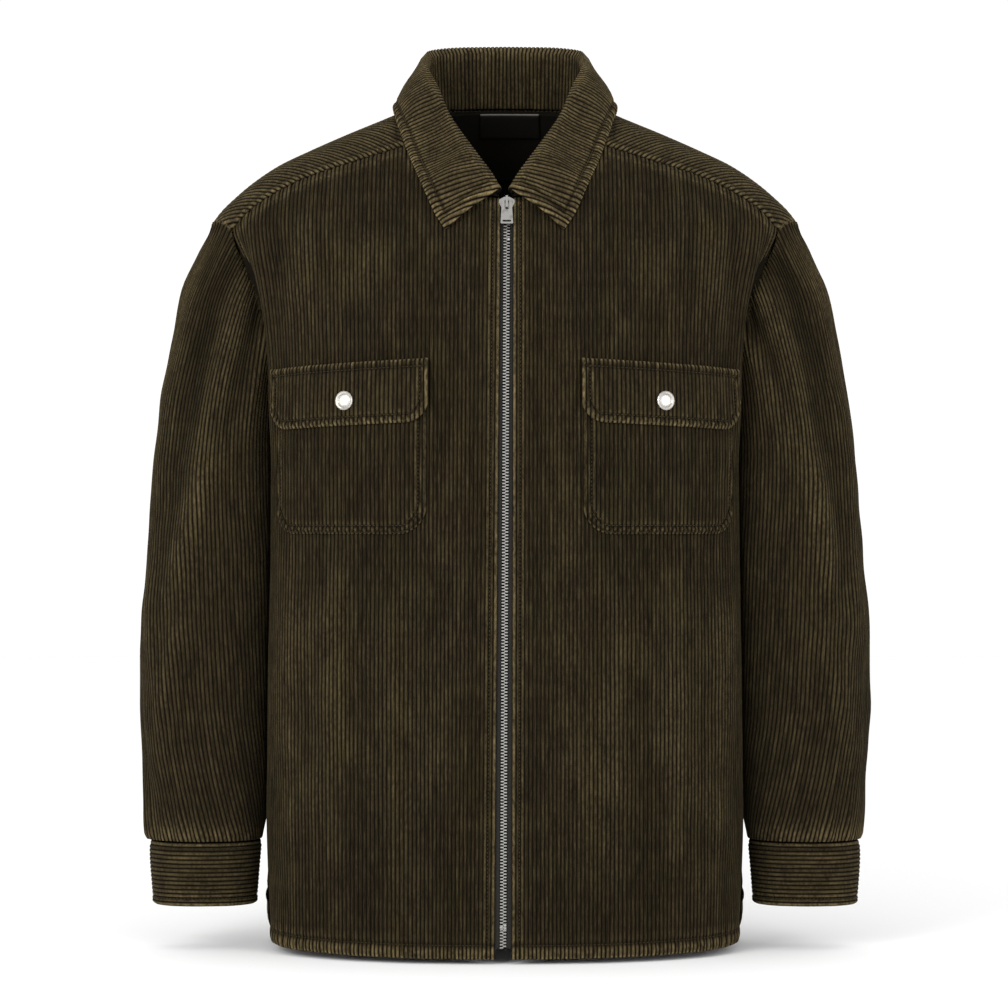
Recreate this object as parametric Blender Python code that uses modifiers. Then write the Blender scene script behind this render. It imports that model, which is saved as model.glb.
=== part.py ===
"""Zip-front corduroy overshirt, filled out as if worn, with nobody in it.

Run with: blender --background --python part.py

Axes: +X is to the right seen from the front, -Y is the front, +Z is up.
The origin is level with the point where the collar meets the shoulders, on the
centre line and at the ridge of the shoulders. Lengths below are millimetres.

The body of the jacket is one smooth surface, cut into pieces. It is worked out
from horizontal sections: each is half a superellipse from centre front to
centre back, with a soft hollow at the side where the sleeve hangs. A place on
it is (s, z): s is the distance round the section from the centre front, or
from the centre back, and z is the height.
"""
import math

import bmesh
import bpy
import numpy as np
from mathutils import Matrix, Vector

MM = 0.001
SIDES = {"left": -1.0, "right": 1.0}      # seen from the front

# ---- driving sizes, mm ---------------------------------------------------
CLOTH = 1.6              # wall of one layer of corduroy
COLLAR_CLOTH = 2.4       # two layers and interlining
TAPE = 1.0               # zip tape, facing and label
SEAM_GAP = 0.3           # between pieces that are sewn together
LAY_GAP = 0.6            # between a panel and what is sewn on it

HEM_Z = -738.0
HEM_SIDE_RISE = 4.0
HEM_CORNER = 30.0        # radius of the rounded corner at each side vent
VENT_TOP_Z = -684.0
VENT_OPEN = 5.0          # how far each vent edge stands back from the side line
TIP_X = 262.0            # drop-shoulder tip
TIP_Z = -97.0
UNDERARM_Z = -300.0
ARM_MID_Y = 8.0          # side line and middle of the armhole
ARM_SHAPE = 0.75         # how long the armhole runs straight before it turns under
NECK_X = 86.0            # where the neck edge crosses the shoulder ridge
NECK_Z = 8.0
NECK_BACK_Z = 16.0
NECK_FRONT_Z = -80.0
CUFF_TOP_Z = -646.0
CUFF_BOTTOM_Z = -703.0

ZIP_TOP_X = 1.7          # the zip leans a little across the centre line
ZIP_BOTTOM_X = -1.7
FRONT_EDGE_TOP = 5.2     # front edge to the zip's middle
FRONT_EDGE_BOTTOM = 7.3
CHAIN_WIDTH = 6.2
CHAIN_DEPTH = 2.2
CHAIN_OUT = -1.2         # the chain's middle, from the middle of the fronts' cloth
TAPE_OUT = -2.3          # and the tapes' middle, behind the fronts
SLIDER_Z = -85.5
TAPE_WIDTH = 13.0
CHAIN_TOP_Z = -92.0
CHAIN_BOTTOM_Z = -729.0

POCKET_IN = 67.0         # s of the pocket's inner and outer sides
POCKET_OUT = 218.0
POCKET_BOTTOM_Z = -372.0
POCKET_CORNER = 26.0
FLAP_TOP_Z = -221.0
FLAP_OUTER_DROP = 7.0
FLAP_DEPTH = 54.0
FLAP_CORNER = 20.0
BUTTON_X = 135.5
BUTTON_Z = -257.0
BUTTON_RADIUS = 8.6

# ---- sections of the body: a row for each level ----------------------------
BODY = np.array([
    # level  half_width front_depth back_depth squareness hollow
    (-760.0, 216.5, 138.0, 108.0, 2.30, 0.0),
    (-700.0, 218.0, 139.0, 108.0, 2.30, 3.0),
    (-620.0, 219.5, 139.0, 108.0, 2.30, 13.0),
    (-500.0, 221.0, 139.0, 111.0, 2.30, 24.0),
    (-400.0, 220.0, 139.0, 117.0, 2.30, 28.0),
    (-300.0, 219.0, 139.0, 123.0, 2.30, 29.0),
    (-240.0, 219.0, 137.0, 125.0, 2.28, 27.0),
    (-190.0, 223.0, 130.0, 125.0, 2.24, 19.0),
    (-144.0, 235.0, 118.0, 120.0, 2.18, 9.0),
    (-118.0, 250.0, 109.0, 115.0, 2.14, 2.0),
    (-105.0, 259.0, 104.0, 112.5, 2.12, 0.0),
    (-97.0, 262.0, 101.0, 111.0, 2.10, 0.0),
    (-88.0, 257.0, 98.0, 109.0, 2.10, 0.0),
    (-68.0, 237.0, 89.0, 103.5, 2.10, 0.0),
    (-56.0, 222.0, 83.0, 100.0, 2.10, 0.0),
    (-43.0, 202.0, 76.0, 96.0, 2.10, 0.0),
    (-31.0, 177.0, 69.0, 92.0, 2.10, 0.0),
    (-16.0, 143.0, 61.0, 86.5, 2.10, 0.0),
    (3.0, 97.0, 52.0, 79.0, 2.10, 0.0),
    (8.0, 86.0, 50.0, 77.0, 2.10, 0.0),
    (14.0, 73.0, 47.0, 74.0, 2.10, 0.0),
    (30.0, 48.0, 40.0, 66.0, 2.10, 0.0),
    (50.0, 20.0, 30.0, 56.0, 2.10, 0.0)])
HOLLOW_REACH = 42.0      # half width of the hollow at the side

# Forward shoulder seam and neckline of a front
FORWARD_SEAM = np.array([
    # x      z
    (86.0, -29.5), (105.0, -35.0), (130.0, -43.0), (172.0, -56.0),
    (209.0, -74.0), (228.0, -88.0), (242.0, -103.0), (262.0, -124.0)])
FRONT_NECK = np.array([
    # s      z
    (0.0, NECK_FRONT_Z), (22.0, -76.5), (45.0, -68.0), (68.0, -54.0), (84.0, -39.0)])
BACK_SEAM_Z = -100.0     # yoke seam at centre back
BACK_SEAM_DROP = 20.0    # and how much lower it is at the armhole
FRONT_TIP_X = 242.0      # where each seam meets the armhole
BACK_TIP_X = 226.0

# Sleeve: a row for each level
SLEEVE = np.array([
    # level  outer_x inner_x front_y back_y
    (-703.0, 314.0, 224.0, -46.0, 24.0),
    (-646.0, 318.0, 219.0, -50.0, 30.0),
    (-620.0, 320.5, 214.0, -53.0, 38.0),
    (-576.0, 324.0, 208.5, -56.0, 52.0),
    (-522.0, 327.0, 204.5, -59.0, 62.0),
    (-468.0, 327.0, 201.5, -61.0, 70.0),
    (-396.0, 322.0, 197.0, -66.0, 80.0),
    (-315.0, 315.0, 194.0, -68.0, 86.0),
    (-252.0, 305.0, 192.0, -66.0, 87.0),
    (-200.0, 294.0, 190.0, -62.0, 84.0),
    (-163.0, 285.0, 188.0, -58.0, 80.0),
    (-97.0, 262.0, 180.0, -50.0, 70.0)])
SLEEVE_SQUARENESS = 2.25
SLEEVE_ROWS = 13
SLEEVE_ANGLES = (0, 22, 44, 62, 80, 97, 111, 123, 133, 142, 151, 163, 180)   # degrees, close inside
SLEEVE_BLEND = 3.2       # how fast the tube leaves the armhole's own shape
ARM_LAP = 3.0            # sleeve's middle outside the body's middle, at the armhole
ARM_CLEAR = 2.6          # and what is added further down
LEAN_MOST = 1.6          # steepest slope of the body allowed for in that clearance
ARM_START = 0.3          # from the armhole line to the sleeve's edge

# Largest folds: place at the top and bottom of the fold, its span, width and height
FRONT_FOLDS = [
    # s_top s_low  z_top  z_low  width height
    (229.0, 232.0, -80.0, -360.0, 10.0, 4.0),
    (248.0, 258.0, -100.0, -310.0, 9.0, -3.0)]
SLEEVE_FOLDS = [
    # deg_top deg_low z_top z_low width_deg height
    (24.0, 30.0, -100.0, -430.0, 13.0, 4.0),
    (48.0, 50.0, -110.0, -420.0, 12.0, -5.0),
    (72.0, 68.0, -110.0, -520.0, 14.0, 5.0),
    (-40.0, -36.0, -100.0, -430.0, 15.0, 4.0),
    (-66.0, -60.0, -110.0, -400.0, 13.0, -4.5)]

# Collar, half of it from centre back to centre front: roll and leaf edge
COLLAR_ROLL = np.array([
    # share  x     y      z
    (0.00, 0.0, 78.0, 74.0), (0.20, 42.0, 71.0, 72.5), (0.40, 71.0, 46.0, 65.0),
    (0.54, 71.5, 12.0, 51.0), (0.66, 62.0, -22.0, 28.0), (0.76, 50.0, -47.0, 1.0),
    (0.86, 31.0, -73.0, -31.0), (0.94, 13.0, -91.0, -57.0), (1.00, 4.5, -100.0, -71.5)])
COLLAR_EDGE = np.array([
    (0.00, 0.0, 87.0, 4.0), (0.20, 54.0, 79.0, 2.5), (0.40, 91.0, 48.0, 2.0),
    (0.54, 99.0, 8.0, 7.4), (0.58, 99.0, -13.0, 6.0), (0.62, 98.0, -30.0, 0.5),
    (0.66, 95.0, -44.0, -9.0), (0.76, 84.0, -60.0, -41.0), (0.86, 72.5, -80.0, -67.0),
    (0.94, 61.0, -98.0, -93.0), (1.00, 51.5, -106.0, -108.0)])
COLLAR_SLICES = (0.0, 0.10, 0.20, 0.30, 0.40, 0.48, 0.54, 0.58, 0.62, 0.66, 0.74, 0.82, 0.91, 1.0)
LEAF_LIES = 0.66         # from this share to the front the leaf edge lies on the body
LEAF_REST = 2.9          # middle of the leaf outside the middle of the body
# Share along the neck seam for a share along the roll
SEAM_PACE = np.array([(0.0, 0.0), (0.54, 0.39), (0.76, 0.66), (1.0, 1.0)])
ROLL_RADIUS = 3.4
COLLAR_BULGE = 5.0       # how far the leaf bows out between roll and edge

FACING_LOW = -46.0       # lowest level of the half-moon facing
FACING_REACH = 66.0
FACING_IN = 3.8          # its middle inside the yoke's middle

COLOURS = {
    # name            colour                 rough metal
    "corduroy": ((0.060, 0.048, 0.028), 0.95, 0.0),
    "facing": ((0.022, 0.018, 0.012), 0.90, 0.0),
    "tape": ((0.030, 0.028, 0.024), 0.90, 0.0),
    "zip_metal": ((0.60, 0.59, 0.56), 0.35, 1.0),
    "button_metal": ((0.55, 0.53, 0.49), 0.40, 1.0)}


# ---- small helpers ---------------------------------------------------------
def smooth(value, places, heights):
    """A smooth curve through a short table, with no overshoot."""
    places, heights = np.asarray(places, float), np.asarray(heights, float)
    gap = np.diff(places)
    slope = np.diff(heights) / gap
    tangent = np.zeros_like(heights)
    tangent[0], tangent[-1] = slope[0], slope[-1]
    same = slope[:-1] * slope[1:] > 0
    mean = 2 * slope[:-1] * slope[1:] / np.where(same, slope[:-1] + slope[1:], 1.0)
    tangent[1:-1] = np.where(same, mean, 0.0)
    value = np.clip(value, places[0], places[-1])
    row = np.clip(np.searchsorted(places, value) - 1, 0, len(gap) - 1)
    t = (value - places[row]) / gap[row]
    return (heights[row] * (1 + 2 * t) * (1 - t) ** 2 + tangent[row] * gap[row] * t * (1 - t) ** 2
            + heights[row + 1] * t * t * (3 - 2 * t) - tangent[row + 1] * gap[row] * t * t * (1 - t))


def ease(value, low, high):
    t = np.clip((value - low) / (high - low), 0.0, 1.0)
    return t * t * (3 - 2 * t)


def fold_height(folds, place, z):
    """Height of the folds at a place round the section and a level."""
    total = np.zeros(np.broadcast(place, z).shape)
    for top, low, z_top, z_low, width, height in folds:
        along = np.clip((z_top - z) / (z_top - z_low), 0.0, 1.0)
        middle = top + (low - top) * along
        swell = ease(along, 0.0, 0.22) * (1 - ease(along, 0.45, 1.0))
        total += height * swell * np.exp(-((place - middle) / width) ** 2)
    return total


# ---- the body's smooth surface ----------------------------------------------
def level_values(z):
    return [smooth(z, BODY[:, 0], BODY[:, column]) for column in range(1, 6)]


def half_sections(levels, count=361):
    """x and y round each level, from centre front to centre back."""
    width, front, back, power, hollow = [v[:, None] for v in level_values(levels)]
    angle = np.linspace(0.0, math.pi, count)[None, :]
    x = width * np.sin(angle) ** (2 / power)
    depth = np.where(np.cos(angle) > 0, front, back)
    y = -np.sign(np.cos(angle)) * np.abs(np.cos(angle)) ** (2 / power) * depth
    x = x - hollow * np.exp(-((y - ARM_MID_Y) / HOLLOW_REACH) ** 2) * (x > 60)
    x[:, 0] = x[:, -1] = 0.0
    return x, y


LEVELS = np.arange(-760.0, 50.1, 2.5)
STEP = 1.5
REACH = np.arange(0.0, 345.0, STEP)


def measure_body():
    """Tables of (x, y) by distance from centre front, and from centre back."""
    x, y = half_sections(LEVELS)
    run = np.concatenate([np.zeros((len(x), 1)),
                          np.cumsum(np.hypot(np.diff(x), np.diff(y)), axis=1)], axis=1)
    tables, side = {}, {}
    for name, flip in (("front", False), ("back", True)):
        rows, sides = [], []
        for i in range(len(x)):
            along = run[i, -1] - run[i][::-1] if flip else run[i]
            px, py = (x[i][::-1], y[i][::-1]) if flip else (x[i], y[i])
            rows.append(np.stack([np.interp(REACH, along, px), np.interp(REACH, along, py)], 1))
            order = -py if flip else py
            sides.append(np.interp(-ARM_MID_Y if flip else ARM_MID_Y, order, along))
        tables[name], side[name] = np.array(rows), np.array(sides)
    return tables, side


TABLES, SIDE_RUN = measure_body()


def side_run(half, z):
    """Distance round the section from the centre line to the side line."""
    return np.interp(z, LEVELS, SIDE_RUN[half])


def flat_point(half, s, z):
    """A point of the smooth body with no folds."""
    s, z = np.broadcast_arrays(np.asarray(s, float), np.asarray(z, float))
    row = np.clip((z - LEVELS[0]) / 2.5, 0, len(LEVELS) - 1.001)
    col = np.clip(np.abs(s) / STEP, 0, len(REACH) - 1.001)
    i, j = row.astype(int), col.astype(int)
    u, v = (row - i)[..., None], (col - j)[..., None]
    table = TABLES[half]
    xy = ((table[i, j] * (1 - v) + table[i, j + 1] * v) * (1 - u)
          + (table[i + 1, j] * (1 - v) + table[i + 1, j + 1] * v) * u)
    x = xy[..., 0] * np.where(s < 0, -1.0, 1.0)
    return np.stack([x, xy[..., 1], z], axis=-1)


def flat_normal(half, s, z):
    """Outward normal of the smooth body."""
    across = flat_point(half, s + 4, z) - flat_point(half, s - 4, z)
    up = flat_point(half, s, z + 5) - flat_point(half, s, z - 5)
    normal = np.cross(across, up)
    if half == "back":
        normal = -normal
    return normal / np.linalg.norm(normal, axis=-1, keepdims=True)


def body_point(half, s, z, out=0.0):
    """A point on the folded body, moved out along its normal."""
    s, z = np.broadcast_arrays(np.asarray(s, float), np.asarray(z, float))
    folds = fold_height(FRONT_FOLDS, np.abs(s), z) if half == "front" else 0.0
    return flat_point(half, s, z) + flat_normal(half, s, z) * (np.asarray(out) + folds)[..., None]


# ---- edges of the pieces -----------------------------------------------------
def run_at_x(half, x, z):
    """Distance round the section at which the front or back reaches x."""
    row = int(round((z - LEVELS[0]) / 2.5))
    widths = TABLES[half][row][:, 0]
    last = int(np.argmax(widths))
    return float(np.interp(x, widths[:last + 1], REACH[:last + 1]))


def run_at_y(half, y, z):
    row = int(round((z - LEVELS[0]) / 2.5))
    depths = TABLES[half][row][:, 1] * (1 if half == "front" else -1)
    return float(np.interp(y if half == "front" else -y, depths, REACH))


def armhole_line(half, seam_run, seam_z):
    """(s, z) down the armhole from the end of the yoke's seam to the underarm."""
    reach = float(flat_point(half, seam_run, seam_z)[1]) - ARM_MID_Y
    points = []
    run = seam_run
    for share in np.linspace(0.0, 1.0, 25)[1:-1]:
        z = seam_z + (UNDERARM_Z - seam_z) * share
        y = ARM_MID_Y + reach * math.cos(math.pi / 2 * share) ** ARM_SHAPE
        run = max(run + 0.05, run_at_y(half, y, z))
        points.append((run, z))
    points.append((float(side_run(half, UNDERARM_Z)), UNDERARM_Z))
    return points


def forward_seam_z(x):
    return smooth(np.abs(x), FORWARD_SEAM[:, 0], FORWARD_SEAM[:, 1])


def back_seam_z(x):
    return BACK_SEAM_Z - BACK_SEAM_DROP * (np.abs(x) / 240.0) ** 2


def ridge_z(x):
    rows = BODY[BODY[:, 0] >= TIP_Z][::-1]
    return smooth(np.abs(x), rows[:, 1], rows[:, 0])


def front_top():
    """Top edge of a front in (s, z): neckline, forward seam, armhole."""
    line = [tuple(row) for row in FRONT_NECK]
    for x in np.linspace(NECK_X, FRONT_TIP_X, 16):
        z = float(forward_seam_z(x))
        line.append((run_at_x("front", x, z), z))
    line += armhole_line("front", *line[-1])
    return np.array(line)


def back_top():
    """Top edge of the back in (s, z): yoke seam, armhole."""
    line = []
    for x in np.linspace(0.0, BACK_TIP_X, 14):
        z = float(back_seam_z(x))
        line.append((run_at_x("back", x, z), z))
    line += armhole_line("back", *line[-1])
    return np.array(line)


TOP_LINE = {"front": front_top(), "back": back_top()}
SEAM_END_Z = {"front": float(forward_seam_z(FRONT_TIP_X)), "back": float(back_seam_z(BACK_TIP_X))}
ARMHOLE = {half: line[line[:, 1] <= SEAM_END_Z[half] + 0.01] for half, line in TOP_LINE.items()}


def zip_x(z):
    share = (NECK_FRONT_Z - z) / (NECK_FRONT_Z - HEM_Z)
    return ZIP_TOP_X + (ZIP_BOTTOM_X - ZIP_TOP_X) * share


def front_edge(z):
    share = np.clip((NECK_FRONT_Z - z) / (NECK_FRONT_Z - HEM_Z), 0.0, 1.0)
    return FRONT_EDGE_TOP + (FRONT_EDGE_BOTTOM - FRONT_EDGE_TOP) * share


def hem_z(half, s):
    """Level of the hem, which rises round the corner at each side vent."""
    edge = side_run(half, HEM_Z) - VENT_OPEN
    rise = HEM_SIDE_RISE * (s / edge) ** 2
    inside = np.clip(s - (edge - HEM_CORNER), 0.0, HEM_CORNER)
    return HEM_Z + rise + HEM_CORNER - np.sqrt(HEM_CORNER ** 2 - inside ** 2)


# ---- making objects ------------------------------------------------------------
def clear_scene():
    for item in list(bpy.data.objects):
        bpy.data.objects.remove(item, do_unlink=True)


def make_material(name):
    colour, rough, metal = COLOURS[name]
    material = bpy.data.materials.new(name)
    material.use_nodes = True
    shader = material.node_tree.nodes["Principled BSDF"]
    shader.inputs["Base Color"].default_value = (*colour, 1.0)
    shader.inputs["Roughness"].default_value = rough
    shader.inputs["Metallic"].default_value = metal
    return material


def add_object(name, mesh, material):
    mesh.materials.append(material)
    item = bpy.data.objects.new(name, mesh)
    bpy.data.collections["corduroy_jacket"].objects.link(item)
    return item


def grid_faces(rows, cols, wrap=False):
    span = cols if wrap else cols - 1
    return [(r * cols + c, r * cols + (c + 1) % cols, (r + 1) * cols + (c + 1) % cols,
             (r + 1) * cols + c) for r in range(rows - 1) for c in range(span)]


def cloth_piece(name, blocks, material, wall, flip=False):
    """A wall of cloth on one or more grids of points, solidified about its middle."""
    shape = bmesh.new()
    for points, wrap in blocks:
        rows, cols = points.shape[:2]
        verts = [shape.verts.new(p * MM) for p in points.reshape(-1, 3)]
        for face in grid_faces(rows, cols, wrap):
            corners = [verts[i] for i in face]
            shape.faces.new(corners[::-1] if flip else corners)
    bmesh.ops.remove_doubles(shape, verts=shape.verts, dist=0.02 * MM)
    mesh = bpy.data.meshes.new(name)
    shape.to_mesh(mesh)
    shape.free()
    mesh.shade_smooth()
    item = add_object(name, mesh, material)
    solid = item.modifiers.new("wall", "SOLIDIFY")
    solid.thickness = wall * MM
    solid.offset = 0.0
    solid.use_even_offset = False
    return item


# ---- cloth ------------------------------------------------------------------------
PANEL_ROWS = np.linspace(0.0, 1.0, 18) ** 1.25    # the fronts and the back share their rows
SEWN = 0.5 * SEAM_GAP + 0.15                      # from a seam line to a piece's edge


def outer_run(half, z):
    """Distance round the section to a panel's outer edge: the armhole, then the side seam."""
    armhole = ARMHOLE[half]
    down = np.interp(-z, -armhole[:, 1], armhole[:, 0])
    return np.where(z > UNDERARM_Z, down, side_run(half, z))


def panel_grid(half, fixed, strip, vent):
    """s and z of a panel: columns at fixed runs, then a strip that ends on the outer edge."""
    line, corner = TOP_LINE[half], ARMHOLE[half][0, 0]
    start = fixed[-1]
    part = np.concatenate([np.zeros(len(fixed)), np.arange(1, strip + 1) / strip])
    runs = np.concatenate([fixed, np.full(strip, start)])
    top = np.interp(runs + (corner - start) * part, line[:, 0], line[:, 1]) - SEWN
    low = hem_z(half, runs + (side_run(half, HEM_Z) - vent - SEWN - start) * part)
    z = top[None, :] + (low - top)[None, :] * PANEL_ROWS[:, None]
    opened = vent * ease(-z, -VENT_TOP_Z, -VENT_TOP_Z + 20.0)
    return runs + (outer_run(half, z) - SEWN - opened - start) * part, z


def make_front(name, side, material):
    neck = run_at_x("front", NECK_X, float(forward_seam_z(NECK_X)))
    fixed = np.array([0.0, 22.0, 45.0, POCKET_IN, neck, 118.0, 144.0, 170.0, 196.0, POCKET_OUT])
    s, z = panel_grid("front", fixed, 6, VENT_OPEN)
    s[:, 0] = front_edge(z[:, 0]) + side * zip_x(z[:, 0])
    points = body_point("front", s, z)
    points[..., 0] *= side
    return cloth_piece(name, [(points, False)], material, CLOTH, flip=side > 0)


def make_back(material):
    s, z = panel_grid("back", np.linspace(0.0, 205.0, 7), 6, 0.0)
    points = body_point("back", s, z)
    mirrored = points[:, :0:-1] * np.array([-1.0, 1.0, 1.0])
    return cloth_piece("back", [(np.concatenate([mirrored, points], axis=1), False)],
                       material, CLOTH, flip=True)


def yoke_point(x, across, out=0.0):
    """A point of the yoke: across is -1 at the forward seam, 0 on the ridge, 1 at the back seam."""
    top = ridge_z(x)
    seam = np.where(across < 0, forward_seam_z(x), back_seam_z(x))
    z = top - (top - seam) * across ** 2
    width, front, back, power, _ = level_values(z)
    depth = np.where(across < 0, front, back)
    inner = np.clip(1 - (np.abs(x) / width) ** power, 0.0, 1.0)
    y = np.sign(across) * depth * inner ** (1 / power)
    return np.stack([x, y, z], axis=-1)


def yoke_edge_x(across):
    end = np.where(across < 0, FRONT_TIP_X, BACK_TIP_X)
    return TIP_X - 1.0 - (TIP_X - end) * np.abs(across) ** 1.7


def neck_across(x):
    """Where the back neckline crosses a column of the yoke."""
    z = NECK_Z + (NECK_BACK_Z - NECK_Z) * (1 - (x / NECK_X) ** 2)
    top = ridge_z(x)
    return np.sqrt(np.clip((top - z) / (top - back_seam_z(x)), 0.0, 1.0))


def make_yoke(material):
    front_rows, back_rows, out_cols, mid_cols = 5, 6, 8, 13
    ends = 1 - 0.5 * SEWN / 28.0
    across = np.concatenate([np.linspace(-ends, 0.0, front_rows), np.linspace(0.0, ends, back_rows)[1:]])
    blocks = []
    for side in (-1.0, 1.0):
        share = np.linspace(0.0, 1.0, out_cols)[None, :]
        x = NECK_X + (yoke_edge_x(across)[:, None] - NECK_X) * share
        points = yoke_point(x, np.broadcast_to(across[:, None], x.shape))
        points[..., 0] *= side
        blocks.append((points[:, ::-1] if side > 0 else points, False))
    x = np.broadcast_to(np.linspace(-NECK_X, NECK_X, mid_cols)[None, :], (back_rows, mid_cols))
    start = neck_across(x)
    share = np.linspace(0.0, ends, back_rows)[:, None]
    points = yoke_point(x, start + (1 - start) * share)
    blocks.append((points[:, ::-1], False))
    return cloth_piece("yoke", blocks, material, CLOTH)


def armhole_loop():
    """The closed armhole: tip, front, underarm, back, tip. Right side, on the bare body."""
    over = np.linspace(0.0, -1.0, 9)
    top_front = yoke_point(yoke_edge_x(over) + 1.0, over)
    front = body_point("front", *ARMHOLE["front"][1:].T)
    back = body_point("back", *ARMHOLE["back"][1:].T)
    over = np.linspace(0.0, 1.0, 9)
    top_back = yoke_point(yoke_edge_x(over) + 1.0, over)
    return np.concatenate([top_front, front]), np.concatenate([top_back, back])


def along_line(points, shares):
    run = np.concatenate([[0.0], np.cumsum(np.linalg.norm(np.diff(points, axis=0), axis=1))])
    return np.stack([np.interp(shares * run[-1], run, points[:, k]) for k in range(3)], axis=-1)


def sleeve_base(angle, z):
    """The sleeve as a plain tube: angle 0 is its outer side, 90 degrees its front."""
    outer, inner, front, back = [smooth(z, SLEEVE[:, 0], SLEEVE[:, c]) for c in range(1, 5)]
    power = 2 / SLEEVE_SQUARENESS
    round_x = np.sign(np.cos(angle)) * np.abs(np.cos(angle)) ** power
    round_y = np.sign(np.sin(angle)) * np.abs(np.sin(angle)) ** power
    x = (outer + inner) / 2 + (outer - inner) / 2 * round_x
    y = (front + back) / 2 - (back - front) / 2 * round_y
    return np.stack([x, y, z], axis=-1)


FRONT_ARM, BACK_ARM = armhole_loop()


def armhole_point(angle):
    share = np.abs(angle) / math.pi
    front, back = along_line(FRONT_ARM, share), along_line(BACK_ARM, share)
    return np.where((angle >= 0)[..., None], front, back)


SIDE_LEVELS = LEVELS[LEVELS <= TIP_Z]


def side_table():
    """Outermost x of the folded body for each level and depth."""
    depths = np.arange(-100.0, 112.0, 4.0)
    rows = []
    for z in SIDE_LEVELS:
        front = body_point("front", np.linspace(150.0, float(side_run("front", z)), 60), z)
        back = body_point("back", np.linspace(150.0, float(side_run("back", z)), 60), z)[::-1]
        line = np.concatenate([front, back])
        order = np.argsort(line[:, 1])
        rows.append(np.interp(depths, line[order, 1], line[order, 0]))
    return depths, np.array(rows)


SIDE_DEPTHS, SIDE_X = side_table()


def side_x(y, z):
    row = np.clip((z - LEVELS[0]) / 2.5, 0, len(SIDE_LEVELS) - 1.001)
    col = np.clip((y - SIDE_DEPTHS[0]) / 4.0, 0, len(SIDE_DEPTHS) - 1.001)
    i, j = row.astype(int), col.astype(int)
    u, v = row - i, col - j
    return ((SIDE_X[i, j] * (1 - v) + SIDE_X[i, j + 1] * v) * (1 - u)
            + (SIDE_X[i + 1, j] * (1 - v) + SIDE_X[i + 1, j + 1] * v) * u)


def sleeve_point(angle, share):
    """A point of the sleeve: share 0 is the armhole, 1 is the cuff seam."""
    start = armhole_point(angle)
    z = start[..., 2] + (CUFF_TOP_Z + SEWN - start[..., 2]) * share
    base = sleeve_base(angle, z)
    middle = np.stack([(base[..., 0] * 0 + 258.0), base[..., 1] * 0 + ARM_MID_Y, z], axis=-1)
    out = (base - middle) * np.array([1.0, 1.0, 0.0])
    out = out / np.linalg.norm(out, axis=-1, keepdims=True)
    height = fold_height(SLEEVE_FOLDS, np.degrees(angle), z)
    pull = start - sleeve_base(angle, start[..., 2])
    point = base + out * height[..., None] + pull * ((1 - share) ** SLEEVE_BLEND)[..., None]
    # the cloth folds back over the body below the shoulder, so it lies outside it
    y = point[..., 1]
    lean = np.hypot(1.0, np.clip((side_x(y + 3, z) - side_x(y - 3, z)) / 6, -LEAN_MOST, LEAN_MOST))
    clear = ARM_LAP * ease(-z, -TIP_Z, 20.0 - TIP_Z) + ARM_CLEAR * ease(share, 0.0, 0.08)
    outside = side_x(y, z) + clear * lean
    point[..., 0] = np.maximum(point[..., 0], np.where(np.abs(angle) > 0.6, outside, -1e3))
    return point


def make_sleeve(name, side, material):
    half = np.radians(SLEEVE_ANGLES)
    angle = np.concatenate([-half[-2:0:-1], half])
    share = np.linspace(0.0, 1.0, SLEEVE_ROWS) ** 1.15
    angles, shares = np.meshgrid(angle, share)
    points = sleeve_point(angles, shares)
    step = points[1] - points[0]
    points[0] += step / np.linalg.norm(step, axis=-1, keepdims=True) * ARM_START
    points[..., 0] *= side
    return cloth_piece(name, [(points, True)], material, CLOTH, flip=side > 0)


def make_cuff(name, side, material):
    around = 20
    angle = np.arange(around) / around * 2 * math.pi
    levels = np.linspace(CUFF_TOP_Z - SEWN - 0.2, CUFF_BOTTOM_Z, 3)
    angles, z = np.meshgrid(angle, levels)
    points = sleeve_base(angles, z)
    points[..., 0] *= side
    return cloth_piece(name, [(points, True)], material, CLOTH + 0.4, flip=side < 0)


def neck_line():
    """The neck edge from centre back over the shoulder to centre front, right side."""
    x = np.linspace(0.0, NECK_X, 12)
    back = yoke_point(x, neck_across(x))
    drop = np.linspace(0.0, -1.0, 6)
    shoulder = yoke_point(np.full(6, NECK_X), drop)
    run = np.linspace(84.0, FRONT_EDGE_TOP, 12)
    front = body_point("front", run, np.interp(run, FRONT_NECK[:, 0], FRONT_NECK[:, 1]))
    return np.concatenate([back, shoulder, front])


NECK_LINE = neck_line()


def collar_seam(share):
    """Bottom edge of the collar: just above the neck edge, and just inside the shoulders."""
    x, y, z = along_line(NECK_LINE, np.array([smooth(share, SEAM_PACE[:, 0], SEAM_PACE[:, 1])]))[0]
    beside = float(ease(x, 60.0, NECK_X))
    return np.array([x - 2.6 * beside, y, z + SEAM_GAP + 1.4 - 0.9 * beside])


def collar_row(table, share):
    return np.array([float(smooth(share, table[:, 0], table[:, c])) for c in (1, 2, 3)])


def front_depth(x, z):
    """Depth of the smooth front at a place seen from the front."""
    _, front, _, power, _ = level_values(z)
    return float(front * (1 - (x / smooth(z, BODY[:, 0], BODY[:, 1])) ** power) ** (1 / power))


def front_lean(x, z):
    """How much longer the way out is along Y than along the smooth front's normal."""
    across = (front_depth(x + 1, z) - front_depth(x - 1, z)) / 2
    up = (front_depth(x, z + 1) - front_depth(x, z - 1)) / 2
    return math.sqrt(1 + across ** 2 + up ** 2)


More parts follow.
